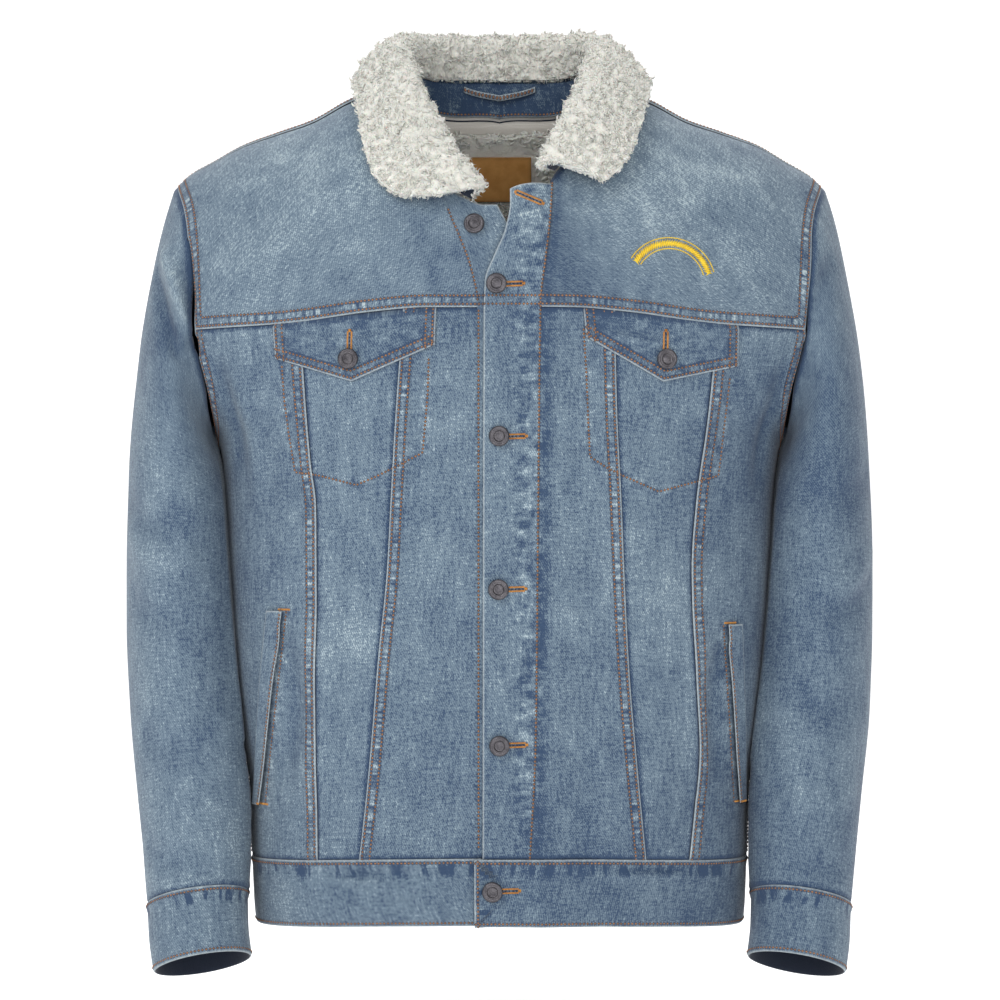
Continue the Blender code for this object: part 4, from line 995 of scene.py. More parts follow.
def yoke_outline(f, start):
    """Outer boundary of a front yoke, as x and roll: along the yoke seam from the
    placket (0) to the armhole (0.6), then up the armhole to the shoulder (1)."""
    corner_x = armhole_x(-0.2110) - SEAM_GAP
    corner_z = front_yoke_z(corner_x) + SEAM_GAP
    corner_roll = -roll_of(corner_x, corner_z)
    along = np.clip(f / 0.6, 0, 1)
    climb = np.clip((f - 0.6) / 0.4, 0, 1)
    x_seam = mix(start, corner_x, along)
    roll_seam = -roll_of(x_seam, front_yoke_z(x_seam) + SEAM_GAP)
    roll_arm = mix(corner_roll, shoulder_seam_roll(0.2765) - SHOULDER_GAP, climb)
    on_seam = f <= 0.6
    return (
        np.where(on_seam, x_seam, armhole_at(roll_arm)),
        np.where(on_seam, roll_seam, roll_arm),
    )


def front_yoke(side, neck, neck_share, stitch, sign):
    """A front yoke, as rays from the neckline to its outer boundary. The first ray
    follows the seam of the placket."""
    neck_x = smooth(neck, 1)
    neck_z = smooth(neck, 2)
    seam = smooth(stitch)
    start = abs(float(seam(-0.195))) + PLACKET_GAP

    def place(across, up):
        f = across if sign > 0 else 1 - across
        share = (1 - f) * neck_share
        inner_x = neck_x(share) + 0.0008
        inner_roll = -roll_of(inner_x, neck_z(share) - 0.0008)
        inner_roll = np.minimum(inner_roll, shoulder_seam_roll(inner_x) - SHOULDER_GAP)
        outer_x, outer_roll = yoke_outline(f, start)
        x = mix(outer_x, inner_x, up)
        roll = mix(outer_roll, inner_roll, up)
        ray_x = mix(start, neck_x(neck_share) + 0.0008, up)
        first_roll = -roll_of(start, front_yoke_z(start) + SEAM_GAP)
        last_roll = -roll_of(neck_x(neck_share), neck_z(neck_share) - 0.0008)
        ray_z = height_of(ray_x, mix(first_roll, last_roll, up))
        miss = np.abs(seam(ray_z)) + PLACKET_GAP - ray_x
        x = x + miss * np.clip(1 - f / 0.35, 0, 1) ** 2
        return on_roll(sign * x, roll)

    def lift(across, up):
        x = place(across, up)[..., 0]
        return lift_left(x) if sign > 0 else 0 * x

    columns = two_spans(0.6, 9, 6)
    if sign < 0:
        columns = (1 - columns)[::-1]
    cloth(f"yoke_front_{side}", place, columns, shares(6), DENIM, "denim", lift)


def placket_left():
    """The outer placket, from the waistband to the neck."""
    edge = smooth(LEFT_EDGE)
    stitch = smooth(LEFT_STITCH)

    def place(across, up):
        top = -0.0932 - 0.0070 * (1 - across) ** 3
        z = mix(waist_z(0.0) + SEAM_GAP, top, up)
        x = mix(edge(z), stitch(z) - SEAM_GAP, across)
        return on_form(x, z)

    def lift(across, up):
        point = place(across, up)
        return lap_lift(point[..., 0], point[..., 2])

    rows = two_spans(0.80, 10, 7)
    cloth("placket_left", place, shares(3), rows, BAND, "denim", lift)


def placket_right():
    """The under placket, which carries the buttons."""
    edge = smooth(RIGHT_EDGE)
    stitch = smooth(RIGHT_STITCH)
    neck_z = smooth([(row[1], row[2]) for row in FRONT_NECK_RIGHT])

    def place(across, up):
        top = neck_z(np.abs(mix(-0.0510, -0.0080, across))) - 0.0012
        z = mix(waist_z(0.0) + SEAM_GAP, top, up)
        x = mix(stitch(z) + SEAM_GAP, edge(z), across)
        return on_form(x, z)

    rows = two_spans(0.80, 10, 7)
    cloth("placket_right", place, shares(4), rows, BAND, "denim")


# ---------------------------------------------------------------- back
def ray_piece(name, outline, inset, columns, wall, material, out=0.0):
    """A piece of the back laid as rays from the back neckline to an outline given as
    x and roll at shares from the shoulder (0) to the centre back (1)."""
    neck_x = smooth(BACK_NECK, 1)
    neck_roll = smooth(BACK_NECK, 2)

    def place(across, up):
        f = 1 - np.abs(2 * across - 1)
        side = np.where(across < 0.5, 1.0, -1.0)
        outer_x, outer_roll = outline(f)
        inner_x = neck_x(f) + inset * (1 - f)
        inner_roll = neck_roll(f) + inset / 0.15 * f
        at_seam = shoulder_seam_roll(inner_x) + SHOULDER_GAP
        inner_roll = np.maximum(inner_roll, at_seam)
        x = mix(outer_x, inner_x, up)
        roll = mix(outer_roll, inner_roll, up)
        return on_roll(side * x, roll)

    half = np.asarray(columns) / 2
    across = np.concatenate([half, (1 - half)[::-1][1:]])
    cloth(name, place, across, shares(6), wall, material, out)


def back_yoke():
    """The back yoke, over both shoulders."""
    corner = 0.45
    corner_z = BACK_YOKE_Z + SEAM_GAP
    corner_x = armhole_x(corner_z) - SEAM_GAP

    def outline(f):
        climb = np.clip(f / corner, 0, 1)
        tip_roll = shoulder_seam_roll(0.2765) + SHOULDER_GAP
        roll_arm = mix(tip_roll, roll_of(corner_x, corner_z), climb)
        along = np.clip((f - corner) / (1 - corner), 0, 1)
        x_seam = mix(corner_x, 0.0, along)
        on_arm = f <= corner
        return (
            np.where(on_arm, armhole_at(roll_arm), x_seam),
            np.where(on_arm, roll_arm, roll_of(x_seam, corner_z)),
        )

    ray_piece("yoke_back", outline, 0.0008, two_spans(corner, 7, 6), DENIM, "denim")


def back_panels():
    """The centre and side panels of the back, below its yoke."""
    seam = smooth(BACK_SEAM)

    def from_back(turn_at, sign, gap):
        return lambda z: math.pi + sign * turn_at(z) + gap / 0.2

    def seam_turn(z):
        return turn_of(seam(z), z)

    gap = SEAM_GAP / 2
    forms = {
        "left": (from_back(side_turn, -1, 2 * gap), from_back(seam_turn, -1, -gap), 5),
        "centre": (from_back(seam_turn, -1, gap), from_back(seam_turn, 1, -gap), 6),
        "right": (from_back(seam_turn, 1, gap), from_back(side_turn, 1, -2 * gap), 5),
    }
    for name, (start, end, count) in forms.items():
        place = strip_form(
            start, end, lambda x: waist_z(x) + SEAM_GAP, level(BACK_YOKE_Z - SEAM_GAP)
        )
        cloth(f"back_{name}", place, shares(count), shares(9), DENIM, "denim")


def waistband():
    """One strip round the hem, from its left end over its right end."""
    start_x, end_x = -0.0205, 0.0262

    def place(across, up):
        low = turn_of(start_x, HEM_Z)
        turn = mix(low, 2 * math.pi + turn_of(end_x, HEM_Z), across)
        x = on_turn(turn, HEM_Z + 0 * turn)[..., 0]
        drop = waist_z(x) - WAIST_SEAM_Z
        z = mix(HEM_Z, WAIST_SEAM_Z - SEAM_GAP, up) + drop
        return on_turn(turn, z)

    def lift(across, up):
        x = place(across, up)[..., 0]
        over = lap_lift(0.05, -0.7) * np.clip((0.085 - x) / 0.05, 0, 1)
        return np.where(across < 0.3, over, 0.0)

    columns = two_spans(0.085, 5, 33)
    cloth("waistband", place, columns, shares(2), BAND, "denim", lift)


# ---------------------------------------------------------------- sleeves
def armhole_point(angle):
    """The armhole seam at an angle round the sleeve: 0 at the shoulder, 90 degrees at
    the front and 180 at the armpit."""
    drop = (1 - np.cos(angle)) / 2
    z = mix(-0.0855, ARMPIT_Z, drop)
    x = armhole_x(z)
    front = np.sin(angle) >= 0
    over = np.sin(np.minimum(roll_of(x, z), math.pi / 2))
    depth = np.where(front, -front_depth(z), back_depth(z))
    return np.stack([x, depth * depth_share(x, z) * over, z], axis=-1)


def ring_form(table, angle_start, angle_end, join_armhole):
    """A sleeve form: across runs round the ring, up from the last ring to the first."""
    steps = np.arange(len(table), dtype=float)
    curves = [smooth(list(zip(steps, column(table, index)))) for index in range(7)]

    def ring(step, angle):
        outer_x, outer_z, inner_x, inner_z, middle_y, depth, rise = (c(step) for c in curves)
        middle_x, middle_z = (outer_x + inner_x) / 2, (outer_z + inner_z) / 2
        cosine, sine = np.cos(angle), np.sin(angle)
        x = middle_x + cosine * (outer_x - inner_x) / 2
        z = middle_z + cosine * (outer_z - inner_z) / 2 + sine * rise
        y = middle_y - np.sign(sine) * np.abs(sine) ** 0.92 * depth
        return np.stack([x, y, z], axis=-1)

    def place(across, up):
        angle = mix(angle_start, angle_end, across)
        step = mix(steps[-1], 0.0, up)
        point = ring(step, angle)
        if join_armhole:
            fade = np.clip(1 - step / 4, 0, 1) ** 2
            miss = armhole_point(angle) + np.array([0.0022, 0, 0]) - ring(0 * step, angle)
            point = point + miss * fade[..., None]
        level_z = np.minimum(point[..., 2], ARMPIT_Z - 0.002)
        y = point[..., 1]
        deep = np.where(y < 0, front_depth(level_z), back_depth(level_z))
        inside = np.maximum(1 - np.clip(np.abs(y) / deep, 0, 1) ** SQUARENESS, 0)
        side = half_width(level_z) * inside ** (1 / SQUARENESS) + BODY_CLEARANCE
        near = point[..., 2] < ARMPIT_Z + 0.03
        point[..., 0] = np.where(near, np.maximum(point[..., 0], side), point[..., 0])
        return point

    return place


def mirrored(place):
    """The same form on the wearer's right side."""
    flip = np.array([-1.0, 1.0, 1.0])
    return lambda across, up: place(1 - across, up) * flip


def sleeves():
    """Two-piece sleeves and their cuffs."""
    gap = math.radians(0.8)
    back, front = SLEEVE_BACK_SEAM, SLEEVE_FRONT_SEAM
    upper = ring_form(SLEEVE, front - gap, back + gap, True)
    under = ring_form(SLEEVE, back + 2 * math.pi - 2 * gap, front + gap, True)
    cuff = ring_form(CUFF, math.pi, -math.pi, False)
    for side, turn in (("left", lambda form: form), ("right", mirrored)):
        cloth(f"sleeve_upper_{side}", turn(upper), shares(13), shares(11), DENIM, "denim")
        cloth(f"sleeve_under_{side}", turn(under), shares(5), shares(11), DENIM, "denim")
        cloth(f"cuff_{side}", turn(cuff), shares(18), shares(2), BAND, "denim", closed=True)


# ---------------------------------------------------------------- collar
def neckline(share):
    """The neckline from the right front end (-1) round the back (0) to the left (1)."""
    sign = np.where(share < 0, -1.0, 1.0)
    away = np.abs(share)
    back_share = 1 - np.clip(away / 0.5, 0, 1)
    front_share = np.clip((away - 0.5) / 0.5, 0, 1)
    x_back, roll_back = (smooth(BACK_NECK, k)(back_share) for k in (1, 2))
    x_front, z_front = (
        np.where(
            sign > 0,
            smooth(FRONT_NECK_LEFT, k)(front_share),
            smooth(FRONT_NECK_RIGHT, k)(front_share),
        )
        for k in (1, 2)
    )
    at_back = on_roll(sign * x_back, roll_back)
    at_front = on_roll(sign * x_front, -roll_of(x_front, z_front))
    return np.where((away < 0.5)[..., None], at_back, at_front)


def through(knots, spots, share):
    """A smooth curve through points that are arrays themselves, at shares."""
    tangents = []
    last = len(knots) - 1
    for i in range(last + 1):
        low, high = max(i - 1, 0), min(i + 1, last)
        tangents.append((knots[high] - knots[low]) / (spots[high] - spots[low]))
    result = np.zeros(np.broadcast(knots[0], share[..., None]).shape)
    for i in range(last):
        span = spots[i + 1] - spots[i]
        t = ((share - spots[i]) / span)[..., None]
        here = (share >= spots[i]) & ((share < spots[i + 1]) | (i == last - 1))
        value = (
            knots[i] * (2 * t**3 - 3 * t**2 + 1)
            + tangents[i] * span * (t**3 - 2 * t**2 + t)
            + knots[i + 1] * (3 * t**2 - 2 * t**3)
            + tangents[i + 1] * span * (t**3 - t**2)
        )
        result = np.where(here[..., None], value, result)
    return result


def collar_form():
    """The folded collar: across runs along the neckline from the right end, up from the
    neckline over the fold to the free edge. Its outward side is the sherpa side."""
    roll_line = [smooth(COLLAR_ROLL, index) for index in (1, 2, 3)]
    edge_x = smooth(COLLAR_EDGE, 1)
    edge_roll = smooth(COLLAR_EDGE, 2)
    rise = np.array([0.0, 0.0, 1.0])

    def place(across, up):
        share = mix(-1.0, 1.0, across)
        fold, ahead, behind = (
            np.stack([curve(share + step) for curve in roll_line], axis=-1)
            for step in (0.0, 0.02, -0.02)
        )
        edge = on_roll(edge_x(share), edge_roll(share))
        edge = edge + normals_of(on_roll, edge_x(share), edge_roll(share), 1e-4) * LEAF_LIFT
        down = unit(edge - fold)
        out = unit(np.cross(ahead - behind, down))
        left_end = np.clip((share - 0.7) / 0.3, 0, 1)[..., None]
        end = np.clip((np.abs(share) - 0.8) / 0.2, 0, 1)[..., None]
        foot = neckline(share) + rise * (COLLAR_FOOT + 0.003 * left_end)
        bends = [
            fold - ROLL_RADIUS * (out * math.cos(bend) + down * math.sin(bend))
            for bend in np.linspace(0, math.pi, 5)
        ]
        stand = mix(foot, bends[0], 0.55)
        leaf = mix(bends[-1], edge, 0.5) + out * 0.003 - rise * 0.003 * end
        knots = [foot, stand, *bends, leaf, edge]
        spots = np.array([0.0, 0.22, *np.linspace(0.40, 0.49, 5), 0.75, 1.0])
        return through(knots, spots, np.clip(up, 0, 1) + 0 * share)

    return place


def collar():
    """Sherpa collar, the denim under it, and the denim band inside the back neck."""
    form = collar_form()

    def start_of_pile(across):
        """The band takes the foot of the collar at the back and runs out at the sides."""
        away = np.abs(2 * across - 1)
        return BAND_SHARE * soft((0.63 - away) / 0.20)

    def pile(across, up):
        stand = mix(start_of_pile(across) + 0.012, 0.40, up / 0.40)
        return form(across, np.where(up < 0.40, stand, up))

    def band(across, up):
        wide = mix(5 / 24, 19 / 24, across)
        return form(wide, mix(0.0, start_of_pile(wide) - 0.008, up))

    bend = np.linspace(0.40, 0.49, 5)
    rows = np.array([0, 0.105, 0.21, 0.33, *bend, 0.60, 0.78, 1.0])
    lie = DENIM + COLLAR_GAP
    columns = shares(24)
    cloth("collar", pile, columns, rows, COLLAR_PILE, "sherpa", lie + COLLAR_PILE)
    cloth("collar_under", form, columns, rows, DENIM, "denim", DENIM)
    cloth("neck_band", band, shares(14), shares(2), DENIM, "denim", lie + DENIM)

    def loop(across, up):
        """The hanger loop hangs in a bow from the top of the band."""
        share = mix(-LOOP_HALF_SHARE, LOOP_HALF_SHARE, across)
        sag = 0.050 * (1 - (share / LOOP_HALF_SHARE) ** 2)
        return form((share + 1) / 2, 0.150 - sag + 0.035 * up)

    def loop_out(across, up):
        return lie + DENIM + LAY_GAP + 0.0016 + 0.003 * np.sin(np.pi * across)

    cloth("hanger_loop", loop, shares(8), shares(1), 0.0016, "tape", loop_out)


# ---------------------------------------------------------------- lining and trims
def lining():
    """The back of the sherpa lining, from the neck tape to the waistband, in an upper
    and a lower piece, with the tape and the label at the neck."""
    arm = 0.45
    top_roll = 0.02
    low_roll = float(roll_of(LINING_SIDE_X, LINING_SEAM_Z + SEAM_GAP))
    excess = float(armhole_at(np.array(low_roll))) - 0.010 - LINING_SIDE_X

    def outline(f):
        climb = np.clip(f / arm, 0, 1)
        roll_arm = mix(top_roll, low_roll, climb)
        x_arm = armhole_at(roll_arm) - 0.010 - excess * climb
        x_seam = mix(LINING_SIDE_X, 0.0, np.clip((f - arm) / (1 - arm), 0, 1))
        x = np.where(f <= arm, x_arm, x_seam)
        return x, np.where(f <= arm, roll_arm, roll_of(x, LINING_SEAM_Z + SEAM_GAP))

    depth = -(DENIM + LINING_GAP)
    name, columns = "lining_back_upper", two_spans(arm, 7, 6)
    ray_piece(name, outline, 0.0090, columns, PILE, "sherpa", depth)

    def turn_at(z):
        return turn_of(np.minimum(half_width(z) * 0.93, LINING_SIDE_X), z)

    place = strip_form(
        lambda z: math.pi - turn_at(z),
        lambda z: math.pi + turn_at(z),
        level(LINING_HEM_Z),
        level(LINING_SEAM_Z - SEAM_GAP),
    )
    cloth("lining_back_lower", place, shares(14), shares(6), PILE, "sherpa", depth)

    neck_x = smooth(BACK_NECK, 1)
    neck_roll = smooth(BACK_NECK, 2)

    def tape(across, up):
        share = mix(-1.0, 1.0, across)
        f = 1 - 0.62 * np.abs(share)
        roll = neck_roll(f) + mix(0.080, 0.004, up)
        point = on_roll(-np.sign(share) * neck_x(f), roll)
        point[..., 2] += 0.007 * soft((up - 0.7) / 0.3)
        return point

    cloth("neck_tape", tape, shares(10), shares(8), 0.0012, "tape", -DENIM - LAY_GAP)

    def label(across, up):
        z = mix(LABEL_BOTTOM_Z, LABEL_TOP_Z, up)
        x = mix(LABEL_HALF_WIDTH, -LABEL_HALF_WIDTH, across)
        return on_roll(x, roll_of(x, z))

    cloth("neck_label", label, shares(3), shares(2), 0.0014, "leather", depth - PILE - 0.0030)


def flaps():
    """Pointed flaps of the two chest pockets."""
    for side, corners in (("left", FLAP_LEFT), ("right", FLAP_RIGHT)):
        top_inner, top_outer, low_outer, point, low_inner = corners
        start, end = (low_inner, low_outer) if side == "left" else (low_outer, low_inner)
        spots = np.array([start[0], point[0], end[0]])
        lows = np.array([start[1], point[1], end[1]])
        tops = sorted((top_inner, top_outer))

        def place(across, up, spots=spots, lows=lows, tops=tops):
            low_x = np.interp(across, (0, 0.5, 1), spots)
            low_z = np.interp(across, (0, 0.5, 1), lows)
            top_x = mix(tops[0][0], tops[1][0], across)
            top_z = mix(tops[0][1], tops[1][1], across)
            return on_form(mix(low_x, top_x, up), mix(low_z, top_z, up))

        out = DENIM + LAY_GAP
        cloth(f"flap_{side}", place, shares(6), shares(2), DENIM, "denim", out)


def welts():
    """Slanted welts of the two side pockets, lying on the side panels."""
    for side, line in (("left", WELT_LEFT), ("right", WELT_RIGHT)):
        (top_x, top_z), (low_x, low_z) = line
        sign = 1 if side == "left" else -1

        def place(across, up, sign=sign, top_x=top_x, top_z=top_z, low_x=low_x, low_z=low_z):
            z = mix(low_z, top_z, up)
            turn = turn_of(mix(low_x, top_x, up), z)
            wide = WELT_WIDTH / 0.075 * np.where(sign > 0, across, across - 1)
            return on_turn(turn + wide, z)

        cloth(f"welt_{side}", place, shares(1), shares(8), DENIM, "denim", DENIM + WELT_GAP)


# ---------------------------------------------------------------- stitches
# One stitch: a point at each end, a ring of four points between them
STITCH_FACES = (
    (0, 2, 1), (0, 3, 2), (0, 4, 3), (0, 1, 4), (5, 1, 2), (5, 2, 3), (5, 3, 4), (5, 4, 1),
)
STITCH_SHADOW = {"length": 0.0042, "width": 0.0030, "height": 0.0004}  # a flat dark patch under a stitch: painted shadow of its dent
STITCH_PITCH = 0.0032


class Threads:
    """Many small stitches, gathered into one mesh. Rows also get dark patches of painted shadow,
    if given.
    """

    def __init__(self, shadow_patches=None):
        self.points, self.faces, self.shadow_patches = [], [], shadow_patches

    def add(self, centres, along, normals, length, width, height, under=True):
        """Elongated stitches of eight faces, half sunk in the cloth. Those that nothing
        sees from below have only the four upper ones."""
        centres, along, normals = (np.atleast_2d(a) for a in (centres, along, normals))
        along = unit(along - normals * np.sum(along * normals, axis=-1, keepdims=True))
        side = np.cross(normals, along)
        ring = [
            centres - along * length / 2 - normals * 0.0002,
            centres + side * width / 2,
            centres + normals * height,
            centres - side * width / 2,
            centres - normals * height * 0.5,
            centres + along * length / 2 - normals * 0.0002,
        ]
        pattern = np.array([face for face in STITCH_FACES if under or 4 not in face])
        first = sum(map(len, self.points)) + len(ring) * np.arange(len(centres))
        self.points.append(np.stack(ring, axis=1).reshape(-1, 3))
        self.faces.append((first[:, None, None] + pattern[None]).reshape(-1, 3))

    def row(self, line, normals, length=0.0030, width=0.0018, height=0.0008):
        """A row of stitches along a line."""
        run = walk(line)
        if run[-1] < STITCH_PITCH:
            return
        spots = np.arange(STITCH_PITCH / 2, run[-1], STITCH_PITCH)
        spots = spots + RANDOM.uniform(-0.0002, 0.0002, len(spots))

        def at(values, q):
            return np.stack([np.interp(q, run, values[:, k]) for k in range(3)], axis=-1)

        along = at(line, spots + 0.0008) - at(line, spots - 0.0008)
        where = at(line, spots), along, unit(at(normals, spots))
        self.add(*where, length, width, height)
        if self.shadow_patches:
            self.shadow_patches.add(*where, **STITCH_SHADOW, under=False)

    def build(self, name, material):
        points, faces = np.concatenate(self.points), np.concatenate(self.faces)
        piece = new_piece(name, points.tolist(), faces.tolist())
        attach(piece, "root")
        piece.data.materials.append(material)


def edge_row(name, edge, gap):
    """The line on a piece at a distance from one of its edges (0 to 3, as in EDGES)."""
    grid = SHEETS[name]
    outer, normal, away = grid["outer"], grid["normal"], grid["away"][edge]
    if edge > 1:
        outer, normal, away = outer.swapaxes(0, 1), normal.swapaxes(0, 1), away.T
    if edge in (1, 3):
        outer, normal, away = outer[::-1], normal[::-1], away[::-1]
    both = np.concatenate([outer, normal], axis=-1)
    row = [
        [np.interp(gap, away[:, index], both[:, index, k]) for k in range(6)]
        for index in range(outer.shape[1])
        if away[-1, index] >= gap
    ]
    row = np.array(row).reshape(-1, 6)
    return row[:, :3], row[:, 3:]


# Rows of stitches: piece, edge, distances from it
WIDE, YOKE, CLOSE = (0.0025, 0.0090), (0.0025, 0.0095), (0.0025, 0.0080)
SEAM_ROWS = (
    ("front_inner_left", 1, WIDE), ("front_side_left", 0, WIDE),
    ("front_inner_right", 0, WIDE), ("front_side_right", 1, WIDE),
    ("front_side_left", 1, WIDE), ("front_side_right", 0, WIDE),
    ("yoke_front_left", 2, YOKE), ("yoke_front_right", 2, YOKE),
    ("yoke_back", 0, CLOSE), ("yoke_back", 1, CLOSE), ("yoke_back", 2, YOKE),
    ("back_centre", 0, WIDE), ("back_centre", 1, WIDE), ("back_left", 0, WIDE),
    ("sleeve_upper_left", 1, WIDE), ("sleeve_upper_right", 0, WIDE),
    *[("flap_" + side, edge, CLOSE) for side in ("left", "right") for edge in (0, 1, 2)],
    ("waistband", 3, (0.0030,)), ("waistband", 0, (0.0030,)), ("waistband", 2, (0.0032,)),
    ("cuff_left", 3, (0.0030,)), ("cuff_right", 3, (0.0030,)),
    ("cuff_left", 2, (0.0032,)), ("cuff_right", 2, (0.0032,)),
    ("neck_band", 2, (0.0026,)), ("welt_left", 0, (0.0016,)), ("welt_right", 1, (0.0016,)),
    ("hanger_loop", 2, (0.0020,)), ("hanger_loop", 3, (0.0020,)),
)

# Where the open top buttonhole starts and ends, and those beside the buttons
BUTTONHOLE_TOP = ((0.0140, -0.1000), (0.0350, -0.1085))


def front_tree():
    """The fronts as one surface, to lay things on."""
    points, faces = [], []
    for name, grid in SHEETS.items():
        if name.startswith(("front", "yoke_front", "placket", "flap", "welt", "waistband")):
            outer = grid["outer"]
            faces.append(grid_faces(*outer.shape[:2], False) + sum(map(len, points)))
            points.append(outer.reshape(-1, 3))
    return BVHTree.FromPolygons(np.concatenate(points).tolist(), np.concatenate(faces).tolist())


def laid(tree, x, z):
    """The outermost point of the fronts at x and a height, and its normal."""
    spot, lean, _, _ = tree.ray_cast(Vector((float(x), -0.5, float(z))), Vector((0, 1, 0)), 0.6)
    if spot is None:
        return None, None
    return np.array(spot), np.array(lean if lean.y < 0 else -lean)


def laid_row(threads, tree, line):
    """A row of stitches laid on the fronts, along a line of x and heights."""
    line = np.array(line, float)
    run = walk(line)
    spots = np.arange(0, run[-1], 0.0015)
    found = [laid(tree, *(np.interp(q, run, line[:, k]) for k in (0, 1))) for q in spots]
    found = [pair for pair in found if pair[0] is not None]
    if len(found) > 2:
        threads.row(*(np.array(values) for values in zip(*found)))


def bars(threads, tree, line, turn, pitch, length, width, height, lift=0.0):
    """Satin bars across a line, turned from its own direction by an angle in degrees."""
    line = np.array(line, float)
    run = walk(line)
    for q in np.arange(0, run[-1] + 1e-6, pitch):
        (x, z), ahead, behind = (
            [np.interp(q + step, run, line[:, k]) for k in (0, 1)] for step in (0, 6e-4, -6e-4)
        )
        step = math.atan2(ahead[1] - behind[1], ahead[0] - behind[0]) + math.radians(turn)
        spot, lean = laid(tree, x, z)
        if spot is not None:
            along = np.array([math.cos(step), 0.0, math.sin(step)])
            threads.add(spot + lean * lift, along, lean, length, width, height)


def buttonhole(threads, slits, tree, start, end):
    """A keyhole of close satin stitches round a slit."""
    (x0, z0), (x1, z1) = start, end
    length = math.hypot(x1 - x0, z1 - z0)
    ux, uz = (x1 - x0) / length, (z1 - z0) / length
    satin = 90, 0.0006  # turn and pitch of its stitches
    for off in (-0.0016, 0.0016):
        line = [(x0 - uz * off, z0 + ux * off), (x1 - uz * off, z1 + ux * off)]
        bars(threads, tree, line, *satin, 0.0026, 0.0009, 0.0009)
    eye = [(x1, z1), (x1 + ux * 0.0022, z1 + uz * 0.0022)]
    bars(threads, tree, eye, *satin, 0.0046, 0.0009, 0.0011)
    bar = [(x0 - ux * 0.0016, z0 - uz * 0.0016), (x0, z0)]
    bars(threads, tree, bar, *satin, 0.0046, 0.0009, 0.0010)
    bars(slits, tree, [start, end], 0, 0.0030, 0.0044, 0.0012, 0.0007)


def upright_row(threads, tree, x_at, low, high, count):
    """A row of stitches up the fronts, x_at(z) from the centre."""
    heights = np.linspace(low, high, count)
    laid_row(threads, tree, [(float(x_at(z)), z) for z in heights])


def stitching(seam_thread, bright_thread, slit, yellow, shadow_look):
    """Every row, bar tack and buttonhole, and the embroidery."""
    tree = front_tree()
    # flat dark patches under the seam stitches: painted shadow
    shadow_patches = Threads()
    seams, bright, slits, arc = Threads(shadow_patches), Threads(), Threads(), Threads()
    for name, edge, gaps in SEAM_ROWS:
        for gap in gaps:
            line, lean = edge_row(name, edge, gap)
            if len(line) > 3:
                seams.row(line, lean)
    laid_row(seams, tree, POCKET_RIGHT)
    laid_row(seams, tree, POCKET_LEFT)
    over, under = smooth(LEFT_STITCH), smooth(RIGHT_STITCH)
    upright_row(seams, tree, lambda z: over(z) - 0.0004, -0.6500, -0.0900, 60)
    upright_row(seams, tree, lambda z: under(z) + 0.0006, -0.1900, -0.1130, 20)
    upright_row(seams, tree, lambda z: -0.0172, -0.6400, -0.1950, 60)
    across = np.linspace(-0.0180, 0.0335, 14)
    for rise in (0.0030, 0.0100):
        laid_row(seams, tree, [(x, -0.1950 + rise) for x in across])
    for side, table in ((1, WELT_LEFT), (-1, WELT_RIGHT)):
        laid_row(seams, tree, [(x - side * 0.002, z) for x, z in table])
        for x, z in table:
            bar = [(x + end + side * 0.002, z + 0.001) for end in (-0.003, 0.007)]
            bars(bright, tree, bar, 90, 0.0007, 0.0030, 0.0010, 0.0009)
    for _, x, z, layer in BUTTONS:
        if layer in ("placket", "waist"):
            buttonhole(bright, slits, tree, (x + 0.0080, z), (x + 0.0215, z + 0.0004))
        if layer == "flap":
            buttonhole(bright, slits, tree, (x, z + 0.0085), (x + 0.0003, z + 0.0225))
    buttonhole(bright, slits, tree, *BUTTONHOLE_TOP)
    embroider(arc, tree)
    seams.build("seam_stitches", seam_thread)
    shadow_patches.build("stitch_shadow_patches", shadow_look)
    bright.build("buttonhole_stitches", bright_thread)
    slits.build("buttonhole_slits", slit)
    arc.build("embroidered_arc", yellow)


def embroider(threads, tree):
    """A plain embroidered rope on the left chest: an arc of slanted satin bars, with an
    outline on each side."""
    centre_x, centre_z, radius = 0.1408, -0.1738, 0.0333
    angles = np.radians(np.linspace(147, 14, 60))

    def arc(reach):
        return [(centre_x + math.cos(a) * reach, centre_z + math.sin(a) * reach) for a in angles]

    bars(threads, tree, arc(radius), 62, 0.0019, 0.0096, 0.0026, 0.0013)
    bars(threads, tree, arc(radius), -62, 0.0048, 0.0090, 0.0018, 0.0009)
    for edge in (0.0046, -0.0046):
        bars(threads, tree, arc(radius + edge), 0, 0.0015, 0.0024, 0.0016, 0.0011)


# ---------------------------------------------------------------- pile
LOCK_SIDES = 3
# Knots of a lock: how far off the root it stands, runs on and swings aside, in shares of
# its length, then its girth there. The first knot is sunk into the cloth instead.
CURL = ((0, 0, 0, 1.0), (0.16, 0.22, 0, 1.15), (0.24, 0.54, 0.12, 0.8), (0.12, 0.90, 0.30, 0))
HAIR = ((0, 0, 0, 1.0), (0.42, 0.25, 0, 0.7), (0.75, 0.65, 0.20, 0))


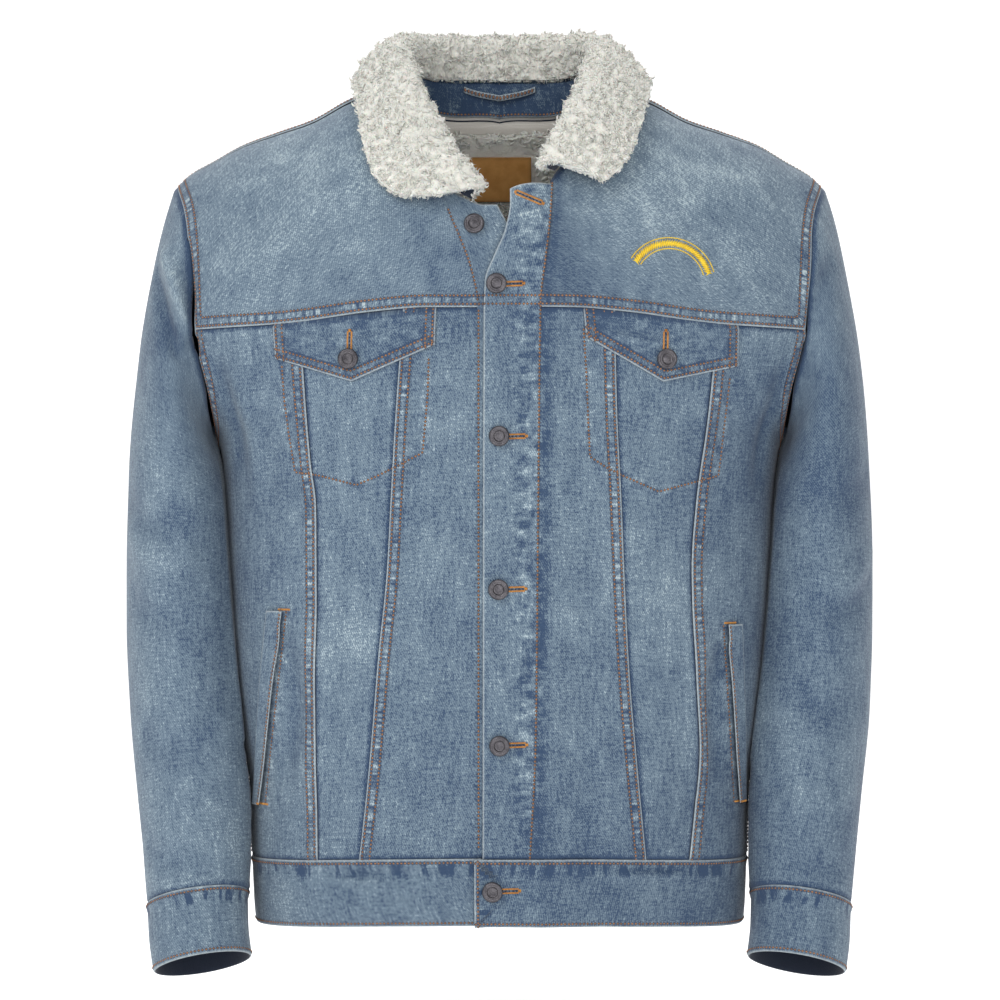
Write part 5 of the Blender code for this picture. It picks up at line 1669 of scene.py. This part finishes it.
def locks(
    name, grid, count, length, thick, seed, knots=CURL, sunk=0.0008, keep=None, within=False
):
    """Curly locks of fleece, rooted on the outer face and the rims of a piece, or on its
    inner face. keep gives more of them to some places."""
    rng = np.random.default_rng(seed)
    outer, inner = grid["outer"], grid["inner"]
    if within:
        outer, inner = inner[::-1], outer[::-1]
    quads = [(outer[:-1, :-1], outer[1:, :-1], outer[1:, 1:], outer[:-1, 1:])]
    for a, b in ((outer[:, 0], inner[:, 0]), (inner[:, -1], outer[:, -1]),
                 (inner[0], outer[0]), (outer[-1], inner[-1])):
        quads.append((b[:-1], b[1:], a[1:], a[:-1]))
    corners = [np.stack([q.reshape(-1, 3) for q in quad], axis=1) for quad in quads]
    corners = np.concatenate(corners)
    lean = np.cross(corners[:, 2] - corners[:, 0], corners[:, 3] - corners[:, 1])
    size = np.linalg.norm(lean, axis=1)
    lean = unit(lean)
    if keep is not None:
        size = size * keep(corners.mean(axis=1))
    pick = rng.choice(len(size), count, p=size / size.sum())
    s, t = rng.random((2, count, 1))
    c = corners[pick]
    root = mix(mix(c[:, 0], c[:, 1], s), mix(c[:, 3], c[:, 2], s), t)
    normal = lean[pick]
    drift = np.array([noise.noise_vector(Vector(p) * 62.0) for p in root.tolist()])
    wild = rng.normal(size=(count, 3)) * 0.22
    flow = unit(np.cross(normal, drift + wild) + 1e-9)
    side = np.cross(normal, flow)
    run = length * rng.uniform(0.65, 1.3, (count, 1))
    turn = rng.uniform(-1, 1, (count, 1))
    spots = [
        root + (normal * up + flow * on + side * aside * turn) * run for up, on, aside, _ in knots
    ]
    spots[0] = root - normal * sunk
    girth = thick * rng.uniform(0.7, 1.25, (count, 1))
    rows = []
    for index, spot in enumerate(spots[:-1]):
        ahead = unit(spots[index + 1] - spots[max(index - 1, 0)])
        one = unit(np.cross(ahead, side + 0.3 * normal))
        two = np.cross(ahead, one)
        for angle in 2 * math.pi * np.arange(LOCK_SIDES) / LOCK_SIDES:
            off = one * math.cos(angle) + two * math.sin(angle)
            rows.append(spot + off * girth * knots[index][3])
    rows.append(spots[-1])
    pattern = [tuple(range(LOCK_SIDES))[::-1]]
    for low in range(0, len(rows) - 1, LOCK_SIDES):
        for k in range(LOCK_SIDES):
            a, b = low + k, low + (k + 1) % LOCK_SIDES
            if low + LOCK_SIDES < len(rows) - 1:
                pattern += [(a, b, b + LOCK_SIDES), (a, b + LOCK_SIDES, a + LOCK_SIDES)]
            else:
                pattern.append((a, b, len(rows) - 1))
    first = len(rows) * np.arange(count)
    faces = (first[:, None, None] + np.array(pattern)[None]).reshape(-1, 3)
    piece = new_piece(name, np.stack(rows, axis=1).reshape(-1, 3).tolist(), faces.tolist())
    shade = np.repeat(rng.uniform(0, 1, count), len(rows)).astype(np.float32)
    piece.data.attributes.new("lock", "FLOAT", "POINT").data.foreach_set("value", shade)
    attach(piece, "root")
    return piece


# ---------------------------------------------------------------- buttons
# Radius and height of a button's outline, from the middle of its top to its underside
BUTTON_PROFILE = (
    (0.0, 0.0034), (0.0016, 0.0034), (0.003, 0.0031), (0.0037, 0.003), (0.0041, 0.0032),
    (0.0046, 0.0042), (0.005, 0.0045), (0.0055, 0.0044), (0.0058, 0.0042), (0.0062, 0.0044),
    (0.0068, 0.0046), (0.0075, 0.0044), (0.0081, 0.0039), (0.0085, 0.0031), (0.0085, 0.0023),
    (0.008, 0.0016), (0.006, 0.0006), (0.0042, 0.0), (0.0, 0.0),
)
BUTTON_STEPS = 48  # round it
MILLED = (9, 10)  # rows of the outline that have fine notches
NOTCH = 0.0004 / 0.0085


def fine_button(name, x, z, layer):
    """A domed tack button with a sunk, ringed centre, turned in fine steps."""
    points, faces = [], []
    for index, (radius, height) in enumerate(BUTTON_PROFILE):
        for k in range(BUTTON_STEPS):
            angle = 2 * math.pi * k / BUTTON_STEPS
            notch = 1.0 + NOTCH * (math.cos(angle * 24) if index in MILLED else 0)
            ring = radius * notch
            points.append((ring * math.cos(angle), ring * math.sin(angle), height))
    for start in range(0, len(points) - BUTTON_STEPS, BUTTON_STEPS):
        for k in range(BUTTON_STEPS):
            a, b = start + k, start + (k + 1) % BUTTON_STEPS
            faces.append((a, a + BUTTON_STEPS, b + BUTTON_STEPS, b))
    piece = new_piece("button_" + name + "_look", points, faces)
    data = piece.data
    data.validate()
    stand = {
        "under": 0.0,
        "placket": float(lap_lift(x, z)),
        "waist": float(lap_lift(x, -0.7)),
        "flap": DENIM + LAY_GAP,
    }[layer]
    nudge = 1e-3
    run = on_form(x + nudge, z) - on_form(x - nudge, z)
    rise = on_form(x, z + nudge) - on_form(x, z - nudge)
    axis = Vector(np.cross(run, rise)).normalized()
    turn = axis.to_track_quat("Z", "Y").to_matrix().to_4x4()
    turn.translation = Vector(on_form(x, z)) + axis * (stand + 0.0007)
    data.transform(turn)
    mesh = bmesh.new()
    mesh.from_mesh(data)
    bmesh.ops.remove_doubles(mesh, verts=mesh.verts, dist=1e-5)
    mesh.to_mesh(data)
    mesh.free()
    data.shade_smooth()
    data.materials.append(MATERIAL["metal"])
    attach(piece, "root")
    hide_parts("button_" + name)


# ---------------------------------------------------------------- materials
class Value:
    """A node's output, with the plain operators on it."""

    def __init__(self, nodes, socket):
        self.nodes, self.socket = nodes, socket

    def __add__(self, other):
        return self.nodes.math("ADD", self, other)

    def __sub__(self, other):
        return self.nodes.math("SUBTRACT", self, other)

    def __mul__(self, other):
        return self.nodes.math("MULTIPLY", self, other)


class Nodes:
    """Short ways to write a material's nodes."""

    def __init__(self, name):
        self.material = bpy.data.materials.new(name)
        self.material.use_nodes = True
        self.tree = self.material.node_tree
        self.shader = self.tree.nodes["Principled BSDF"]

    def put(self, socket, value):
        """Link a value to a socket, or set a number or a colour."""
        if isinstance(value, Value):
            self.tree.links.new(value.socket, socket)
        else:
            socket.default_value = (*value, 1) if isinstance(value, tuple) else value

    def node(self, kind, inputs, output, **settings):
        """The output of a new node whose inputs are given by name or place."""
        made = self.tree.nodes.new(kind)
        for key, value in settings.items():
            setattr(made, key, value)
        for key, value in inputs.items():
            self.put(made.inputs[key], value)
        return Value(self, made.outputs[output])

    def place(self):
        return self.node("ShaderNodeTexCoord", {}, "Object")

    def uv(self):
        return self.node("ShaderNodeUVMap", {}, "UV", uv_map="cloth")

    def attribute(self, name, output="Fac"):
        return self.node("ShaderNodeAttribute", {}, output, attribute_name=name)

    def math(self, operation, a, b=0.0):
        return self.node("ShaderNodeMath", {0: a, 1: b}, 0, operation=operation)

    def scaled(self, vector, x, y, z):
        made = self.node("ShaderNodeVectorMath", {0: vector}, 0, operation="MULTIPLY")
        made.socket.node.inputs[1].default_value = (x, y, z)
        return made

    def noise(self, vector, scale, detail=2.0, rough=0.5):
        inputs = {"Vector": vector, "Scale": scale, "Detail": detail, "Roughness": rough}
        return self.node("ShaderNodeTexNoise", inputs, "Fac")

    def wave(self, vector, scale, distortion, detail, direction):
        inputs = {"Vector": vector, "Scale": scale, "Distortion": distortion, "Detail": detail}
        return self.node(
            "ShaderNodeTexWave", inputs, "Fac", wave_type="BANDS", bands_direction=direction
        )

    def between(self, value, low, high):
        """A smooth step from 0 at low to 1 at high."""
        inputs = {"Value": value, "From Min": low, "From Max": high}
        kind = "ShaderNodeMapRange"
        return self.node(kind, inputs, "Result", interpolation_type="SMOOTHSTEP")

    def line(self, gap, at, half, edge):
        """1 along a line at a distance from a seam."""
        return self.between(self.math("ABSOLUTE", gap - at), half, edge)

    def mix(self, share, a, b):
        return self.node("ShaderNodeMix", {0: share, 6: a, 7: b}, 2, data_type="RGBA")

    def bump(self, height, distance, strength):
        inputs = {"Height": height, "Distance": distance, "Strength": strength}
        self.put(self.shader.inputs["Normal"], self.node("ShaderNodeBump", inputs, "Normal"))

    def finish(self, colour, roughness, **settings):
        self.put(self.shader.inputs["Base Color"], colour)
        self.put(self.shader.inputs["Roughness"], roughness)
        for key, value in settings.items():
            self.put(self.shader.inputs[key.replace("_", " ")], value)
        return self.material


PALE = (0.430, 0.480, 0.470)
LIGHT = (0.335, 0.415, 0.460)
MIDDLE = (0.139, 0.196, 0.250)
DEEP = (0.020, 0.048, 0.105)
NIGHT = (0.010, 0.017, 0.036)  # the inner face
WORN = (0.45, 0.50, 0.515)  # the rims


def denim_material():
    """Stone-washed denim: twill and slubs in the cloth's own coordinates, clouds of the
    wash, pale ridges and ladders of wear, and painted shade in the hollows by the seams."""
    n = Nodes("denim_look")
    uv, place = n.uv(), n.place()
    rim, band, painted_seam_shade, pucker, wash_and_shade, mark, inside, row, hem = (
        n.attribute(name)
        for name in ("rim", "band", "painted_seam_shade", "pucker", "wash_and_shade", "mark", "inside", "row", "hem")
    )
    seam = n.attribute("seam", "Vector")  # along the nearest seam, away from it
    gap = n.node("ShaderNodeSeparateXYZ", {0: seam}, "Y")

    weave = n.wave(n.scaled(uv, 1.0, 0.55, 1.0), 330.0, 1.4, 1.0, "DIAGONAL")
    grain = n.noise(uv, 760.0, 1.0, 0.6)
    coarse = n.noise(uv, 340.0, 2.0, 0.6)
    warp = n.noise(n.scaled(uv, 1.0, 0.09, 1.0), 600.0, 2.0, 0.6)
    weft = n.noise(n.scaled(uv, 0.12, 1.0, 1.0), 620.0, 2.0, 0.5)
    cloud = n.noise(place, 11.0, 3.0, 0.55)
    patch = n.noise(place, 42.0, 3.0, 0.6)
    drag = n.noise(n.scaled(place, 1.0, 1.0, 0.28), 75.0, 2.0, 0.55)

    # how pale it is, from dark below 0 to bleached above 1
    heather = grain * 0.50 + coarse * 0.42 + warp * 0.34 + weft * 0.22 + weave * 0.10
    level = (heather - 0.79) * 5.0 + -0.14
    level = level + (cloud - 0.5) * 1.15 + (patch - 0.5) * 0.85 + (drag - 0.5) * 0.95
    # broad spots of the wash with painted shade among them, and painted shade beside seams where
    # an edge runs under its neighbour
    level = level + wash_and_shade * 0.55 - painted_seam_shade * 1.3

    # a felled seam: pale rungs of wear between two grooves of stitches, which get painted shade
    strength = n.noise(n.scaled(seam, 1.0, 0.3, 1.0), 42.0, 1.0, 0.5)
    rungs = n.noise(n.scaled(seam, 1.0, 0.05, 1.0), 235.0, 2.0, 0.6)
    rungs = (rungs - 0.53) * (strength * 9.0 + 2.0)
    lane = n.between(gap, 0.0030, 0.0042) * n.between(gap, 0.0090, 0.0078) * (row * band)
    level = level + (rungs + 0.22) * lane
    rows = n.line(gap, 0.0026, 0.0014, 0.0004), n.line(gap, 0.0090, 0.0017, 0.0004)
    single = n.line(gap, 0.0031, 0.0014, 0.0004) * hem
    shaded_groove = n.math("MAXIMUM", n.math("MAXIMUM", *rows) * row, single)
    # painted shade along each row of stitches
    level = level - shaded_groove * 0.70

    # dark ticks beside a hem, puckers off every seam, blots on folds
    zone = n.between(gap, 0.0034, 0.0050) * n.between(gap, 0.0165, 0.0105)
    ticks = n.noise(n.scaled(seam, 1.0, 0.22, 1.0), 120.0, 1.0, 0.5)
    ticks = n.between(ticks, 0.50, 0.60) * (zone * hem)
    streaks = n.noise(n.scaled(seam, 1.0, 0.30, 1.0), 105.0, 2.0, 0.55)
    streaks = (streaks - 0.50) * 5.2 * pucker
    blots = n.noise(n.scaled(place, 1.0, 1.0, 1.5), 95.0, 2.0, 0.55)
    blots = (blots - 0.50) * 4.6 * mark
    level = level - ticks * 1.25 + streaks + blots

    low = n.mix(n.between(level, -1.25, 0.34), DEEP, MIDDLE)
    high = n.mix(n.between(level, 0.34, 1.0), low, LIGHT)
    colour = n.mix(n.between(level, 1.0, 1.9), high, PALE)
    worn = n.between(rim, 0.35, 0.95) * (coarse * 0.9 + 0.35)
    colour = n.mix(n.math("MINIMUM", worn, 1.0) * 0.70, colour, WORN)
    colour = n.mix(inside, colour, NIGHT)

    height = weave * 0.10 + grain * 0.20 + warp * 0.12 + rungs * lane * 0.20
    height = height + streaks * 0.30 + blots * 0.16 - (shaded_groove + ticks) * 0.35
    n.bump(height, 0.0011, 0.85)
    return n.finish(colour, grain * 0.12 + 0.80, Sheen_Weight=0.12, Sheen_Roughness=0.5)


def fleece_material():
    n = Nodes("sherpa_look")
    place = n.place()
    clump, broad = n.noise(place, 170.0, 3.0, 0.6), n.noise(place, 30.0, 2.0, 0.5)
    fibre = n.noise(n.scaled(place, 1.0, 1.0, 0.35), 1600.0, 2.0, 0.6)
    mixed = clump * 0.55 + n.attribute("lock") * 0.12 + broad * 0.25
    colour = n.mix(n.between(mixed, 0.25, 0.75), (0.75, 0.74, 0.675), (0.83, 0.82, 0.765))
    n.bump(fibre + clump * 2.0, 0.0014, 0.8)
    return n.finish(
        colour, clump * 0.1 + 0.86, Sheen_Weight=0.35, Sheen_Roughness=0.6,
        Subsurface_Weight=0.08, Subsurface_Scale=0.004,
    )


def metal_material():
    n = Nodes("gunmetal_look")
    spots, cloud = n.noise(n.place(), 900.0, 3.0, 0.6), n.noise(n.place(), 160.0, 2.0, 0.6)
    tone = n.between(spots * 0.5 + cloud * 0.5, 0.35, 0.65)
    n.bump(spots, 0.0002, 0.5)
    colour = n.mix(tone, (0.055, 0.052, 0.060), (0.125, 0.118, 0.128))
    return n.finish(colour, cloud * 0.25 + 0.30, Metallic=0.75)


def leather_material():
    n = Nodes("leather_look")
    inputs = {"Vector": n.place(), "Scale": 1100.0}
    grain = n.node("ShaderNodeTexVoronoi", inputs, "Distance", feature="DISTANCE_TO_EDGE")
    cloud = n.noise(n.place(), 60.0, 3.0, 0.6)
    colour = n.mix(n.between(cloud, 0.3, 0.7), (0.500, 0.225, 0.050), (0.640, 0.315, 0.085))
    colour = n.mix(n.attribute("rim") * 0.5, colour, (0.10, 0.045, 0.012))
    n.bump(grain * 3.0, 0.0002, 0.6)
    return n.finish(colour, cloud * 0.2 + 0.48)


def tape_material():
    n = Nodes("tape_look")
    ribs, fleck = n.wave(n.uv(), 260.0, 0.6, 2.0, "Y"), n.noise(n.uv(), 700.0, 2.0, 0.6)
    tone = ribs * 0.5 + fleck * 0.5
    n.bump(tone, 0.0004, 0.8)
    colour = n.mix(tone, (0.66, 0.62, 0.56), (0.86, 0.83, 0.78))
    return n.finish(colour, fleck * 0.1 + 0.82)


def thread_material(name, dull, bright, roughness):
    n = Nodes(name)
    worn, twist = n.noise(n.place(), 90.0, 3.0, 0.7), n.noise(n.place(), 2600.0, 1.0, 0.5)
    n.bump(twist, 0.0003, 0.7)
    colour = n.mix(n.between(worn * 0.7 + twist * 0.3, 0.35, 0.65), dull, bright)
    return n.finish(colour, worn * 0.1 + roughness)


# ---------------------------------------------------------------- the jacket
def jacket():
    """Every piece that is a sheet."""
    left = (upright(LEFT_STITCH), upright(LEFT_INNER_SEAM), upright(LEFT_OUTER_SEAM))
    right = (upright(RIGHT_STITCH), upright(RIGHT_INNER_SEAM), upright(RIGHT_OUTER_SEAM))
    front_panels("left", *left, 1)
    front_panels("right", *right, -1)
    front_yoke("left", FRONT_NECK_LEFT, 1.0, LEFT_STITCH, 1)
    front_yoke("right", FRONT_NECK_RIGHT, 0.735, RIGHT_STITCH, -1)
    placket_left()
    placket_right()
    back_yoke()
    back_panels()
    waistband()
    sleeves()
    collar()
    lining()
    flaps()
    welts()


def near_neck(points):
    """Where the lining shows most, so it takes most of the locks."""
    gap = np.hypot(points[:, 0], (points[:, 2] + 0.05) * 0.8)
    high = points[:, 2] > LABEL_BOTTOM_Z - 0.001
    label = (np.abs(points[:, 0]) < 0.031) & high & (points[:, 2] < LABEL_TOP_Z + 0.001)
    return np.where(label, 0.0, 0.12 + 4.0 * (gap < 0.10))


def declare_sheets(with_pieces):
    """Each piece's cut, measured flat along its last edge lines and by its area; nothing more is
    done with it.
    """
    for name, grid in SHEETS.items():
        a, b, c, d = (
            grid["outer"][i][:, j]
            for i in (slice(None, -1), slice(1, None))
            for j in (slice(None, -1), slice(1, None))
        )
        halves = np.cross(c - a, b - a), np.cross(d - b, d - c)
        area = float(sum(np.linalg.norm(half, axis=-1).sum() for half in halves) / 2)
        sides = grid["over"][-1].max(), grid["rise"][:, -1].max()
        flat = tuple(max(round(float(side), 3), 0.011) for side in sides)
        area = min(max(area, 0.31 * flat[0] * flat[1]), flat[0] * flat[1])
        bpy.data.objects[name + "_look"]
        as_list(with_pieces.get(name, []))


jacket()
MATERIAL = {
    "denim": denim_material(), "sherpa": fleece_material(), "metal": metal_material(),
    "leather": leather_material(), "tape": tape_material(),
}
for name, grid in SHEETS.items():
    look = "denim" if name == "hanger_loop" else grid["material"]  # a loop of denim
    bpy.data.objects[name + "_look"].data.materials.append(MATERIAL[look])
for button in BUTTONS:
    fine_button(*button)
stitching(
    thread_material("seam_thread", (0.200, 0.095, 0.042), (0.420, 0.180, 0.065), 0.6),
    thread_material("buttonhole_thread", (0.42, 0.17, 0.030), (0.72, 0.33, 0.065), 0.5),
    thread_material("slit_shadow", (0.012, 0.018, 0.035), (0.030, 0.040, 0.070), 0.9),
    thread_material("arc_thread", (0.72, 0.48, 0.020), (0.90, 0.66, 0.045), 0.45),
    thread_material("bed_shadow", (0.050, 0.052, 0.070), (0.090, 0.080, 0.085), 0.9),
)
COLLAR, LINING = SHEETS["collar"], SHEETS["lining_back_upper"]
PILES = {
    "collar": [
        locks("collar_locks", COLLAR, 6200, 0.0048, 0.00092, seed=5),
        locks("collar_hairs", COLLAR, 9400, 0.0040, 0.00030, seed=6, knots=HAIR, sunk=0.001),
    ],
    "lining_back_upper": [
        locks("lining_locks", LINING, 3000, 0.0068, 0.0010, seed=7, keep=near_neck, within=True)
    ],
}
for piece in sum(PILES.values(), []):
    piece.data.materials.append(MATERIAL["sherpa"])
declare_sheets(PILES)


# ---------------------------------------------------------------- stage
FLOOR_Z = CAD_BOX[0][2] - 0.035
WALL_Y, BEND = 4.2, 1.2  # where the floor starts to curve up, and the curve's radius


def backdrop():
    """A pale floor that curves up into a backdrop."""
    bend = [(-6.0, 0.0), (WALL_Y, 0.0)]
    for a in np.radians(range(5, 91, 5)):
        bend.append((WALL_Y + BEND * math.sin(a), BEND - BEND * math.cos(a)))
    bend.append((WALL_Y + BEND, 6.0))
    points = [(x, y, FLOOR_Z + rise) for y, rise in bend for x in (-7.0, 7.0)]
    starts = range(0, len(points) - 2, 2)
    piece = new_piece("backdrop", points, [(k, k + 1, k + 3, k + 2) for k in starts])
    n = Nodes("backdrop_look")
    white = (0.93, 0.93, 0.93)
    look = n.finish(white, 0.9, Emission_Color=(1, 1, 1), Emission_Strength=0.42)
    piece.data.materials.append(look)


LAMPS_AIM = Vector((0, 0, -0.36))


def lamp(name, place, size, watts):
    light = bpy.data.lights.new(name, "AREA")
    light.shape = "RECTANGLE"
    light.size, light.size_y = size
    light.energy = watts
    piece = bpy.data.objects.new(name, light)
    bpy.context.scene.collection.objects.link(piece)
    piece.location = place
    piece.rotation_euler = (LAMPS_AIM - Vector(place)).to_track_quat("-Z", "Y").to_euler()


backdrop()
lamp("key", (-1.9, -2.2, 1.7), (1.5, 1.5), 43)
lamp("fill", (0.4, -3.0, 0.0), (1.4, 1.4), 27)
lamp("top", (0.2, 0.3, 2.4), (2.0, 2.0), 22)
lamp("back", (0.0, 1.4, 1.2), (2.0, 1.0), 16)
world = bpy.data.worlds.new("studio")
bpy.context.scene.world = world
world.use_nodes = True
sky = world.node_tree.nodes["Background"].inputs
sky["Color"].default_value = (1, 1, 1, 1)
sky["Strength"].default_value = 0.50
bpy.context.scene.view_settings.view_transform = "Standard"
